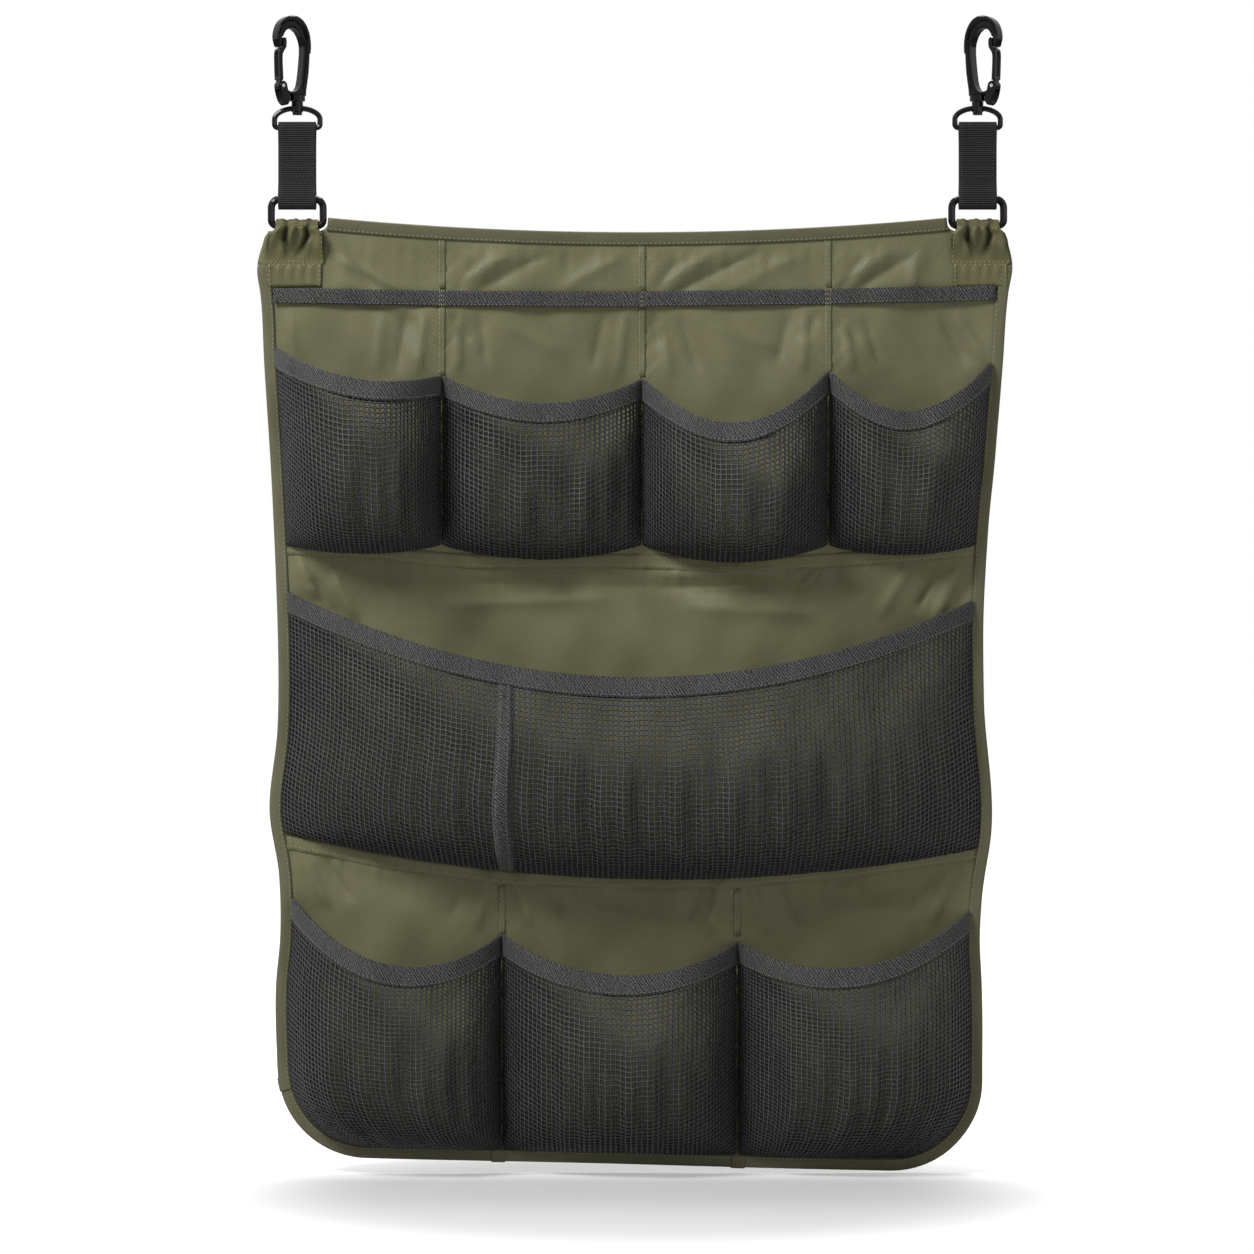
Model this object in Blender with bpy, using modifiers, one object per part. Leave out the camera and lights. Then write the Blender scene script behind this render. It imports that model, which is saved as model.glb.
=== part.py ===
"""Hanging tent organizer: a bound nylon panel with three rows of net pockets on two swivel hooks.

Metres, +Z up, front towards -Y. The origin lies midway between the two hooks, at the height
where they bear on what they hang from. Run it in Blender 4.5.
"""
import math

import bmesh
import bpy
import numpy as np
from mathutils import Matrix, Vector

# Clearances between touching pieces
GAP = 0.0004             # cloth on cloth
BINDING_GAP = 0.0006     # inside tape that is folded over an edge
RUNNING_GAP = 0.0003     # pins and posts in their bores
LOOP_GAP = 0.00045       # webbing and tabs round a bar

# Swivel hook, in the hook's own plane: x runs from the gate to the spine
HOOK_THICKNESS = 0.008
HOOK_EDGE_ROUND = 0.0008
HOOK_TURN = math.radians(35)      # how far each gate is turned towards the front
GROOVE_RADIUS = 0.0015            # groove down each face of the hook
GROOVE_DEPTH = 0.0010
PIN_X = -0.0126
PIN_Z = -0.0386
PIN_RADIUS = 0.0012
PIN_RECESS = 0.0002               # each end of the pin lies below the cheek's face
CHEEK_RADIUS = 0.0032             # round top of the cheeks that hold the gate
CHEEK_THICKNESS = 0.0011
GATE_WIDTH = 0.0076
GATE_ARM_WIDTH = 0.0019
GATE_WINDOW_TOP = -0.0160
GATE_WINDOW_BOTTOM = -0.0325
GATE_EDGE_ROUND = 0.0003
GATE_ROOT_PLATE = (-0.0148, -0.0130)    # from the gate's arms down to its root
COLLAR_RADIUS = 0.00525
COLLAR_TOP = -0.0444
COLLAR_HEIGHT = 0.0034
POST_RADIUS = 0.0020
POST_HEAD_RADIUS = 0.0032
POST_HEAD_HEIGHT = 0.0016

# Swivel eye: a D of round wire below a short barrel
EYE_WIRE_RADIUS = 0.0018
EYE_INNER_WIDTH = 0.0264
EYE_ARCH_RISE = 0.0074
EYE_LEG = 0.0055                  # straight leg between the arch and the bar's axis
EYE_CORNER_RADIUS = 0.0022
BARREL_RADIUS = 0.00385
BARREL_HEIGHT = 0.0069

# Webbing strap, a sewn loop from the eye's bar to the ring's bar
STRAP_WIDTH = 0.025
WEBBING = 0.0016
STRAP_LENGTH = 0.0470             # between the two bars' axes
STRAP_SLACK = 0.0025              # how far the lower fold hangs clear of the ring
STRAP_SEWN_START = 0.0140         # below the eye's bar
STRAP_SEWN_END = 0.0340

# Ring between strap and tab
RING_WIRE_RADIUS = 0.0025
RING_INNER_WIDTH = 0.0292
RING_HEIGHT = 0.0176              # between the axes of its two bars
RING_SHOULDER_RADIUS = 0.0059
RING_CORNER_RADIUS = 0.0035

# Tab, a gathered fold of the panel's cloth round the ring's lower bar
TAB_CLOTH = 0.0010
TAB_TOP_WIDTH = 0.0268
TAB_BOTTOM_WIDTH = 0.0385
TAB_DROP = 0.0246
TAB_FLARE_START = 0.0055
TAB_GATHERS = 3
TAB_GATHER_DEPTH = 0.0012

# Back panel
PANEL_WIDTH = 0.498
PANEL_CLOTH = 0.0012
HANGER_INSET = 0.0245             # from the panel's nominal side to a hanger's middle
PANEL_CORNER_RADIUS = 0.060
PANEL_DROP_LEFT = 0.6155          # lower edge below the ring's bar, left and right
PANEL_DROP_RIGHT = 0.6240
PANEL_TOP_RISE = 0.0031           # upper edge above the ring's bar beside each tab
PANEL_TOP_SAG = 0.0095
PANEL_NOTCH_DROP = 0.0040         # upper edge below the ring's bar under each tab
NOTCH_CLEARANCE = 0.0014          # between the ring and either side of the notch
NOTCH_STEP = 0.0025               # the upper edge climbs out of the notch in this width
NOTCH_REACH = 0.030               # below this the cloth spreads out evenly to both sides
SIDE_TOP_DROP = 0.0080            # the panel's upper corners below the ring's bar
BINDING_START_DROP = 0.0264       # the edge binding starts just below the tabs
PANEL_FOLD_DEPTH = 0.0040
PANEL_FOLD_LENGTH = 0.250
PANEL_FOLD_SHIFT = 0.030          # a crest lies this far left of the middle
PANEL_FOLD_START = 0.0040         # the folds start this far below the tabs
PANEL_FOLD_GROWTH = 0.060         # and are full this much lower
PANEL_FOLD_LOSS = 0.6             # share of the depth lost further down
PANEL_FOLD_LOSS_START = 0.150
PANEL_FOLD_LOSS_LENGTH = 0.300

# Sides of the panel: (drop below the ring's bar, how far the side is drawn in)
LEFT_SIDE = (
    (0.0059, 0.0035), (0.0299, -0.0021), (0.0439, -0.0002), (0.0930, 0.0025), (0.1470, 0.0061),
    (0.2170, 0.0096), (0.2750, 0.0117), (0.3310, 0.0114), (0.3880, 0.0061), (0.4290, 0.0123),
    (0.4700, 0.0130), (0.4990, 0.0104), (0.5690, 0.0114),
)
RIGHT_SIDE = (
    (0.0059, 0.0060), (0.0279, 0.0015), (0.0439, 0.0041), (0.0930, 0.0078), (0.1470, 0.0121),
    (0.2080, 0.0177), (0.2600, 0.0203), (0.3140, 0.0200), (0.3980, 0.0150), (0.4460, 0.0216),
    (0.4700, 0.0228), (0.4990, 0.0216), (0.5780, 0.0210),
)

# Folded tape over the panel's raw edges and over the pockets' mouths
TAPE = 0.0008
TAPE_FOLD = 0.0012                # from the folded edge to where both legs lie flat
EDGE_BINDING_WIDTH = 0.008
TOP_BINDING_WIDTH = 0.009
MOUTH_BINDING_WIDTH = 0.012

# Gear-loop tape across the panel, bar-tacked at the upper row's seams
LOOP_TAPE = 0.0010
LOOP_TAPE_WIDTH = 0.010
LOOP_TAPE_DROPS = (0.0464, 0.0487, 0.0444)    # left end, middle, right end
LOOP_TAPE_BOW = 0.0015

# Net pockets
NET = 0.0006
SEAM_HALF = 0.0023                # from a seam's line to the net on either side
MOUTH_FULLNESS = 0.80             # the mouth stands out this share of the pocket's depth
FULLEST_SHARE = 0.45              # and the net is fullest this share of the way down
ROUND_FRONT = 2.6                 # a higher power gives a flatter front
ROUND_SIDES = 0.75                # a lower power gives steeper sides
ROUND_BOTTOM = 5                  # a higher power gives a sharper turn above the bottom seam
SEAT_RUN = 0.012                  # below its binding the net comes in to the panel in this run
UPPER_SEAMS = (-0.1290, 0.0030, 0.1257)
UPPER_MOUTH_DROPS = (0.0820, 0.1010, 0.1030, 0.0980, 0.0920)
UPPER_MOUTH_DIPS = (0.0136, 0.0182, 0.0330, 0.0300)
UPPER_DEPTHS = (0.058, 0.036, 0.048, 0.034)
UPPER_BOTTOM_DROP = 0.2110
UPPER_BOTTOM_SAG = 0.0090
WIDE_MOUTH_DROPS = (0.2437, 0.2490)
WIDE_MOUTH_DIP = 0.0528
WIDE_DEPTH = 0.062
WIDE_BOTTOM_DROPS = (0.4010, 0.4114)
WIDE_BOTTOM_SAG = 0.0246
WIDE_TAPE_X = -0.0870             # grey tape down the wide pocket's net
WIDE_TAPE_WIDTH = 0.010
WIDE_TAPE_SHARE = 0.985           # of the way down the net
LOWER_SEAMS = (-0.0894, 0.0657)
LOWER_MOUTH_DROPS = (0.4450, 0.4690, 0.4740, 0.4540)
LOWER_MOUTH_DIPS = (0.0295, 0.0215, 0.0240)
LOWER_DEPTHS = (0.050, 0.054, 0.044)

# Worked out from the sizes above
EYE_TOP = COLLAR_TOP - COLLAR_HEIGHT - RUNNING_GAP
EYE_WIRE_TOP = EYE_TOP - BARREL_HEIGHT / 2 - EYE_WIRE_RADIUS / 2
EYE_BAR_Z = EYE_WIRE_TOP - EYE_ARCH_RISE - EYE_LEG
RING_TOP_Z = EYE_BAR_Z - STRAP_LENGTH
TAB_BAR_Z = RING_TOP_Z - RING_HEIGHT
HANGER_X = PANEL_WIDTH / 2 - HANGER_INSET
RING_HALF_WIDTH = RING_INNER_WIDTH / 2 + 2 * RING_WIRE_RADIUS
NOTCH_HALF_WIDTH = RING_HALF_WIDTH + NOTCH_CLEARANCE
BINDING_OFFSET = PANEL_CLOTH / 2 + BINDING_GAP + TAPE / 2
PANEL_EDGE_INSET = TAPE + 2 * BINDING_GAP
MOUTH_BINDING_OFFSET = NET / 2 + BINDING_GAP + TAPE / 2
NET_SEAT = PANEL_CLOTH / 2 + GAP + NET / 2
MOUTH_SEAT = PANEL_CLOTH / 2 + GAP + MOUTH_BINDING_OFFSET + TAPE / 2

COLOURS = {
    "olive_nylon": "#6E6C54",
    "olive_tape": "#5E5C47",
    "grey_tape": "#525251",
    "black_net": "#2F2F2E",
    "black_webbing": "#30302F",
    "black_acetal": "#2C2C2A",
    "steel": "#8C8C88",
}


# Scene, materials and small modelling steps

def start_scene():
    for old in list(bpy.data.objects):
        bpy.data.objects.remove(old, do_unlink=True)
    collections = []
    for name in ("tent_organizer", "cutters"):
        collection = bpy.data.collections.new(name)
        bpy.context.scene.collection.children.link(collection)
        collections.append(collection)
    return collections


PARTS, CUTTERS = start_scene()


def linear_colour(name):
    code = COLOURS[name].lstrip("#")
    channels = []
    for start in (0, 2, 4):
        value = int(code[start:start + 2], 16) / 255
        channels.append(value / 12.92 if value <= 0.04045 else ((value + 0.055) / 1.055) ** 2.4)
    return (*channels, 1.0)


def give_material(part, colour, roughness, metallic=0.0):
    material = bpy.data.materials.new(part.name + "_" + colour)
    material.use_nodes = True
    shader = material.node_tree.nodes["Principled BSDF"]
    shader.inputs["Base Color"].default_value = linear_colour(colour)
    shader.inputs["Roughness"].default_value = roughness
    shader.inputs["Metallic"].default_value = metallic
    part.data.materials.clear()
    part.data.materials.append(material)


def new_part(name, mesh, collection=PARTS):
    part = bpy.data.objects.new(name, mesh)
    collection.objects.link(part)
    return part


def empty(name, place, parent=None, turn=0.0):
    axis = bpy.data.objects.new(name, None)
    PARTS.objects.link(axis)
    axis.empty_display_size = 0.01
    axis.location = place
    axis.rotation_euler = (0, 0, turn)
    axis.parent = parent
    return axis


def move_origin(part, place):
    """Put the part's origin on its joint's axis and leave its shape where it is."""
    part.data.transform(Matrix.Translation(-Vector(place)))
    part.location = place


def curve_mesh(curve, matrix=Matrix.Identity(4)):
    """A curve as a welded closed mesh, placed by matrix."""
    holder = bpy.data.objects.new("curve_to_mesh", curve)
    bpy.context.scene.collection.objects.link(holder)
    graph = bpy.context.evaluated_depsgraph_get()
    mesh = bpy.data.meshes.new_from_object(holder.evaluated_get(graph))
    bpy.data.objects.remove(holder, do_unlink=True)
    bm = bmesh.new()
    bm.from_mesh(mesh)
    bmesh.ops.remove_doubles(bm, verts=bm.verts, dist=1e-6)
    bm.transform(matrix)
    bmesh.ops.recalc_face_normals(bm, faces=bm.faces)
    bm.to_mesh(mesh)
    bm.free()
    return mesh


def plate(name, outlines, half_thickness, edge_round=0.0, upright=True, matrix=Matrix.Identity(4)):
    """A flat plate from closed outlines; an outline inside another one is a hole."""
    curve = bpy.data.curves.new(name, "CURVE")
    curve.dimensions = "2D"
    curve.fill_mode = "BOTH"
    curve.extrude = half_thickness - edge_round
    curve.bevel_depth = edge_round
    curve.bevel_resolution = 0
    curve.offset = -edge_round
    for outline in outlines:
        spline = curve.splines.new("POLY")
        spline.points.add(len(outline) - 1)
        for point, (across, up) in zip(spline.points, outline):
            point.co = (across, up, 0, 1)
        spline.use_cyclic_u = True
    stand = Matrix.Rotation(math.radians(90), 4, "X") if upright else Matrix.Identity(4)
    return curve_mesh(curve, matrix @ stand)


def wire(name, points, radius, cyclic=False, sides=2):
    curve = bpy.data.curves.new(name, "CURVE")
    curve.dimensions = "3D"
    curve.bevel_depth = radius
    curve.bevel_resolution = sides
    curve.use_fill_caps = not cyclic
    spline = curve.splines.new("POLY")
    spline.points.add(len(points) - 1)
    for point, place in zip(spline.points, points):
        point.co = (*place, 1)
    spline.use_cyclic_u = cyclic
    return curve_mesh(curve)


def rod(radius, start, end, across=0.0, deep=False, centre=(0.0, 0.0), sides=24):
    """A cylinder along Z from start to end, or along Y when deep, with its axis at centre."""
    bm = bmesh.new()
    bmesh.ops.create_cone(bm, cap_ends=True, segments=sides, radius1=radius, radius2=radius,
                          depth=abs(end - start))
    middle = (start + end) / 2
    if deep:
        bm.transform(Matrix.Rotation(math.radians(90), 4, "X"))
        bm.transform(Matrix.Translation((centre[0], middle, centre[1])))
    else:
        bm.transform(Matrix.Translation((centre[0] + across, centre[1], middle)))
    mesh = bpy.data.meshes.new("rod")
    bm.to_mesh(mesh)
    bm.free()
    return mesh


def block(low, high):
    bm = bmesh.new()
    bmesh.ops.create_cube(bm, size=1.0)
    size = [upper - lower for lower, upper in zip(low, high)]
    middle = [(upper + lower) / 2 for lower, upper in zip(low, high)]
    bm.transform(Matrix.Translation(middle) @ Matrix.Diagonal((*size, 1)))
    mesh = bpy.data.meshes.new("block")
    bm.to_mesh(mesh)
    bm.free()
    return mesh


def combine(part, mesh, operation):
    """Join or cut the part with a mesh in its own frame, as a Boolean modifier."""
    tool = new_part(part.name + "_" + operation.lower(), mesh, CUTTERS)
    tool.hide_render = True
    tool.display_type = "WIRE"
    tool.parent = part.parent
    tool.location = part.location
    modifier = part.modifiers.new(operation.title(), "BOOLEAN")
    modifier.operation = operation
    modifier.object = tool
    modifier.solver = "EXACT"


def sheet(name, columns, rows, place, thickness, colour, roughness):
    """Cloth: a grid whose points are put at place(u, v), thickened both ways."""
    bm = bmesh.new()
    bmesh.ops.create_grid(bm, x_segments=columns, y_segments=rows, size=0.5)
    for vertex in bm.verts:
        vertex.co = place(vertex.co.x + 0.5, 0.5 - vertex.co.y)
    mesh = bpy.data.meshes.new(name)
    bm.to_mesh(mesh)
    bm.free()
    part = new_part(name, mesh)
    thicken = part.modifiers.new("Thickness", "SOLIDIFY")
    thicken.thickness = thickness
    thicken.offset = 0.0
    thicken.use_even_offset = True
    mesh.shade_smooth()
    give_material(part, colour, roughness)
    return part


def finish_smooth(part, angle=35):
    part.data.shade_smooth()
    part.data.set_sharp_from_angle(angle=math.radians(angle))


# Curves and surfaces that several pieces share

def smooth_run(points, steps=4):
    """A smooth open run through points (Catmull-Rom)."""
    points = [np.array(point, float) for point in points]
    padded = [2 * points[0] - points[1]] + points + [2 * points[-1] - points[-2]]
    run = []
    for before, start, end, after in zip(padded, padded[1:], padded[2:], padded[3:]):
        for step in range(steps):
            t = step / steps
            run.append(0.5 * (2 * start + (end - before) * t
                              + (2 * before - 5 * start + 4 * end - after) * t ** 2
                              + (3 * start - before - 3 * end + after) * t ** 3))
    run.append(points[-1])
    return [tuple(point) for point in run]


def arc(centre, radius, start, end, steps):
    """Points on an arc, angles in degrees, in the plane of the outline."""
    angles = np.radians(np.linspace(start, end, steps + 1))
    return [(centre[0] + radius * math.cos(a), centre[1] + radius * math.sin(a)) for a in angles]


def ease(value):
    value = min(1.0, max(0.0, value))
    return value * value * (3 - 2 * value)


def along(points, where):
    """A smooth value through hand-set (position, value) points."""
    places = np.array([point[0] for point in points])
    values = np.array([point[1] for point in points])
    slopes = np.gradient(values, places)
    where = min(max(where, places[0]), places[-1])
    index = min(int(np.searchsorted(places, where, side="right")) - 1, len(places) - 2)
    width = places[index + 1] - places[index]
    t = (where - places[index]) / width
    return float((2 * t ** 3 - 3 * t ** 2 + 1) * values[index]
                 + (t ** 3 - 2 * t ** 2 + t) * width * slopes[index]
                 + (3 * t ** 2 - 2 * t ** 3) * values[index + 1]
                 + (t ** 3 - t ** 2) * width * slopes[index + 1])


def height(drop):
    """World height of a place that lies drop below the ring's lower bar."""
    return TAB_BAR_Z - drop


def panel_y(x, drop):
    """Middle of the panel's cloth: long upright folds that die out towards the tabs."""
    growth = ease((drop - TAB_DROP - PANEL_FOLD_START) / PANEL_FOLD_GROWTH)
    loss = PANEL_FOLD_LOSS * ease((drop - PANEL_FOLD_LOSS_START) / PANEL_FOLD_LOSS_LENGTH)
    wave = math.cos(2 * math.pi * (x + PANEL_FOLD_SHIFT) / PANEL_FOLD_LENGTH)
    return PANEL_FOLD_DEPTH * growth * (1 - loss) * wave


def bottom_drop(share):
    """Lower edge of the panel, from its left side (0) to its right side (1)."""
    return PANEL_DROP_LEFT + (PANEL_DROP_RIGHT - PANEL_DROP_LEFT) * share


def side_x(side, drop, inset=0.0):
    """Left (-1) or right (+1) side of the panel at a drop, moved in by inset."""
    drawn_in = along(LEFT_SIDE if side < 0 else RIGHT_SIDE, drop)
    above_bottom = bottom_drop(0 if side < 0 else 1) - drop - inset
    radius = PANEL_CORNER_RADIUS - inset
    corner = 0.0
    if above_bottom < radius:
        reach = radius - max(above_bottom, 0.0)
        corner = radius - math.sqrt(max(radius ** 2 - reach ** 2, 0.0))
    return side * (PANEL_WIDTH / 2 - drawn_in - inset - corner)


def top_drop(x):
    """Upper edge of the panel: low under each tab, a slack curve between the tabs."""
    if abs(x) > HANGER_X - NOTCH_HALF_WIDTH - 0.0001:
        return PANEL_NOTCH_DROP
    return PANEL_TOP_SAG * (1 - (x / (HANGER_X - NOTCH_HALF_WIDTH)) ** 2) - PANEL_TOP_RISE


# Hook

def hook_outline():
    """The hook body in its own plane, from the nose over the top and down to the tail."""
    outer = smooth_run([(-0.0158, -0.0126), (-0.0173, -0.0060), (-0.0150, 0.0020), (-0.0098, 0.0068),
                        (-0.0034, 0.0081), (0.0032, 0.0050), (0.0074, -0.0022), (0.0087, -0.0100),
                        (0.0085, -0.0158)], 3)
    spine = smooth_run([(0.0077, -0.0166), (0.0069, -0.0290), (0.0052, -0.0400), (0.0049, COLLAR_TOP)], 2)
    tail = smooth_run([(-0.0074, COLLAR_TOP), (-0.0078, -0.0490), (-0.0098, -0.0512), (-0.0126, -0.0492),
                       (-0.0148, -0.0440), (PIN_X - CHEEK_RADIUS, PIN_Z)], 3)
    cheek = arc((PIN_X, PIN_Z), CHEEK_RADIUS, 180, 0, 8)[1:]
    inner = smooth_run([(-0.0088, -0.0414), (-0.0056, -0.0424), (-0.0026, -0.0416), (0.0002, -0.0380),
                        (0.0018, -0.0290), (0.0030, -0.0160), (0.0024, -0.0088), (-0.0008, -0.0026),
                        (-0.0056, 0.0), (-0.0104, -0.0022), (-0.0126, -0.0062)], 2)
    nose = [(-0.0134, -0.0066), (-0.0133, -0.0122), (-0.0144, -0.0132)]
    return outer + spine + tail + cheek + inner + nose


def make_hook_body(side, parent):
    body = new_part(side + "_hook_body",
                    plate("hook_outline", [hook_outline()], HOOK_THICKNESS / 2, HOOK_EDGE_ROUND))
    body.parent = parent
    collar_bottom = COLLAR_TOP - COLLAR_HEIGHT
    head_top = EYE_TOP - BARREL_HEIGHT - RUNNING_GAP
    lap = 0.0003
    combine(body, rod(COLLAR_RADIUS, COLLAR_TOP + lap, collar_bottom), "UNION")
    combine(body, rod(POST_RADIUS, collar_bottom + lap, head_top - lap), "UNION")
    combine(body, rod(POST_HEAD_RADIUS, head_top, head_top - POST_HEAD_HEIGHT), "UNION")
    groove = smooth_run([(-0.0153, -0.0052), (-0.0128, 0.0014), (-0.0080, 0.0040), (-0.0034, 0.0040),
                         (0.0012, 0.0018), (0.0042, -0.0040), (0.0056, -0.0110), (0.0052, -0.0180),
                         (0.0042, -0.0300), (0.0028, -0.0400)], 2)
    for face in (-1, 1):
        depth = face * (HOOK_THICKNESS / 2 + GROOVE_RADIUS - GROOVE_DEPTH)
        combine(body, wire("groove", [(x, depth, z) for x, z in groove], GROOVE_RADIUS, sides=1),
                "DIFFERENCE")
    slot = HOOK_THICKNESS / 2 - CHEEK_THICKNESS
    reach = 2 * CHEEK_RADIUS
    combine(body, block((PIN_X - reach, -slot, PIN_Z - CHEEK_RADIUS - 2 * RUNNING_GAP),
                        (PIN_X + reach, slot, PIN_Z + reach)), "DIFFERENCE")
    combine(body, rod(PIN_RADIUS + RUNNING_GAP, -HOOK_THICKNESS, HOOK_THICKNESS, deep=True,
                      centre=(PIN_X, PIN_Z), sides=16), "DIFFERENCE")
    finish_smooth(body)
    give_material(body, "black_acetal", 0.38)
    return body


def make_gate(side, parent):
    """Gate: two arms with a head inside the nose, on a root between the cheeks."""
    root_radius = CHEEK_RADIUS
    plate_bottom = PIN_Z + CHEEK_RADIUS + 2 * RUNNING_GAP
    outer = smooth_run([(-0.0128, -0.0072), (-0.0129, -0.0128), (-0.0152, -0.0150), (-0.0158, -0.0200),
                        (-0.0153, plate_bottom)], 3)
    inner = smooth_run([(-0.0126, plate_bottom), (-0.0132, -0.0200), (-0.0122, -0.0160),
                        (-0.0104, -0.0130), (-0.0102, -0.0084), (-0.0114, -0.0068)], 3)
    gate = new_part(side + "_hook_gate",
                    plate("gate_outline", [outer + inner], GATE_WIDTH / 2, GATE_EDGE_ROUND))
    gate.parent = parent
    slot = HOOK_THICKNESS / 2 - CHEEK_THICKNESS
    root_half = slot - RUNNING_GAP
    window = GATE_WIDTH / 2 - GATE_ARM_WIDTH
    reach = 2 * CHEEK_RADIUS
    combine(gate, block((PIN_X - reach, -window, GATE_WINDOW_BOTTOM),
                        (PIN_X + reach, window, GATE_WINDOW_TOP)), "DIFFERENCE")
    combine(gate, rod(root_radius, -root_half, root_half, deep=True, centre=(PIN_X, PIN_Z)), "UNION")
    root_left, root_right = GATE_ROOT_PLATE
    lap = 0.0005
    combine(gate, block((root_left, -root_half, PIN_Z), (root_right, root_half, plate_bottom + lap)),
            "UNION")
    combine(gate, rod(PIN_RADIUS + RUNNING_GAP, -HOOK_THICKNESS, HOOK_THICKNESS, deep=True,
                      centre=(PIN_X, PIN_Z), sides=16), "DIFFERENCE")
    finish_smooth(gate)
    give_material(gate, "black_acetal", 0.38)
    return gate


def make_gate_pin(side, parent):
    half = HOOK_THICKNESS / 2 - PIN_RECESS
    pin = new_part(side + "_gate_pin", rod(PIN_RADIUS, -half, half, deep=True,
                                           centre=(PIN_X, PIN_Z), sides=16))
    pin.parent = parent
    finish_smooth(pin)
    give_material(pin, "steel", 0.35, 1.0)
    return pin


# Eye, strap, ring and tab of one hanger

def make_swivel_eye(side, x):
    half = EYE_INNER_WIDTH / 2 + EYE_WIRE_RADIUS
    leg_top = EYE_BAR_Z + EYE_LEG
    arch = [(half * math.cos(a), leg_top + EYE_ARCH_RISE * math.sin(a))
            for a in np.linspace(0, math.pi, 17)]
    right_corner = (half - EYE_CORNER_RADIUS, EYE_BAR_Z + EYE_CORNER_RADIUS)
    left_corner = (-right_corner[0], right_corner[1])
    outline = (arch + arc(left_corner, EYE_CORNER_RADIUS, 180, 270, 4)
               + arc(right_corner, EYE_CORNER_RADIUS, 270, 360, 4))
    eye = new_part(side + "_swivel_eye",
                   wire("eye_wire", [(x + across, 0, up) for across, up in outline],
                        EYE_WIRE_RADIUS, cyclic=True))
    bottom = EYE_TOP - BARREL_HEIGHT
    combine(eye, rod(BARREL_RADIUS, EYE_TOP, bottom, across=x), "UNION")
    combine(eye, rod(POST_RADIUS + RUNNING_GAP, EYE_TOP + 0.002, bottom - 0.002, across=x), "DIFFERENCE")
    finish_smooth(eye, 50)
    give_material(eye, "black_acetal", 0.34)
    return eye


def strap_half_gap(down):
    """Half the space between the two layers, at a distance below the eye's bar."""
    upper = EYE_WIRE_RADIUS + LOOP_GAP
    lower = RING_WIRE_RADIUS + LOOP_GAP
    if down < STRAP_SEWN_START:
        return upper * (1 - ease(down / STRAP_SEWN_START))
    return lower * ease((down - STRAP_SEWN_END) / (STRAP_LENGTH - STRAP_SEWN_END))


def make_strap(side, x):
    upper = EYE_WIRE_RADIUS + LOOP_GAP
    lower = RING_WIRE_RADIUS + LOOP_GAP
    top = (0.0, EYE_BAR_Z)
    fold = (0.0, RING_TOP_Z - STRAP_SLACK)
    downs = np.linspace(0, STRAP_LENGTH, 17)[1:-1]
    right = [(strap_half_gap(d) + WEBBING, EYE_BAR_Z - d) for d in downs]
    left = [(-across, up) for across, up in reversed(right)]
    outside = (arc(top, upper + WEBBING, 180, 0, 10) + right + [(lower + WEBBING, RING_TOP_Z)]
               + arc(fold, lower + WEBBING, 0, -180, 10) + [(-lower - WEBBING, RING_TOP_Z)] + left)
    eye_end = [d for d in downs if d < STRAP_SEWN_START - 0.001]
    eye_side = [(strap_half_gap(d), EYE_BAR_Z - d) for d in eye_end]
    eye_hole = (arc(top, upper, 180, 0, 8) + eye_side + [(0.0, EYE_BAR_Z - STRAP_SEWN_START)]
                + [(-across, up) for across, up in reversed(eye_side)])
    ring_end = [d for d in downs if d > STRAP_SEWN_END + 0.001]
    ring_side = [(strap_half_gap(d), EYE_BAR_Z - d) for d in ring_end]
    ring_hole = (arc(fold, lower, 0, -180, 8) + [(-lower, RING_TOP_Z)]
                 + [(-across, up) for across, up in reversed(ring_side)]
                 + [(0.0, EYE_BAR_Z - STRAP_SEWN_END)] + ring_side + [(lower, RING_TOP_Z)])
    turn = Matrix.Translation((x, 0, 0)) @ Matrix.Rotation(math.radians(90), 4, "Z")
    strap = new_part(side + "_strap", plate("strap_section", [outside, eye_hole, ring_hole],
                                            STRAP_WIDTH / 2, matrix=turn))
    move_origin(strap, (x, 0, EYE_BAR_Z))
    finish_smooth(strap)
    give_material(strap, "black_webbing", 0.85)
    return strap


def make_ring(side, x):
    half = RING_INNER_WIDTH / 2 + RING_WIRE_RADIUS
    shoulder = (half - RING_SHOULDER_RADIUS, RING_TOP_Z - RING_SHOULDER_RADIUS)
    corner = (half - RING_CORNER_RADIUS, TAB_BAR_Z + RING_CORNER_RADIUS)
    outline = (arc(shoulder, RING_SHOULDER_RADIUS, 0, 90, 5)
               + arc((-shoulder[0], shoulder[1]), RING_SHOULDER_RADIUS, 90, 180, 5)
               + arc((-corner[0], corner[1]), RING_CORNER_RADIUS, 180, 270, 4)
               + arc(corner, RING_CORNER_RADIUS, 270, 360, 4))
    ring = new_part(side + "_ring", wire("ring_wire", [(x + a, 0, up) for a, up in outline],
                                         RING_WIRE_RADIUS, cyclic=True, sides=3))
    move_origin(ring, (x, 0, RING_TOP_Z))
    finish_smooth(ring, 50)
    give_material(ring, "black_acetal", 0.3)
    return ring


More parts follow.
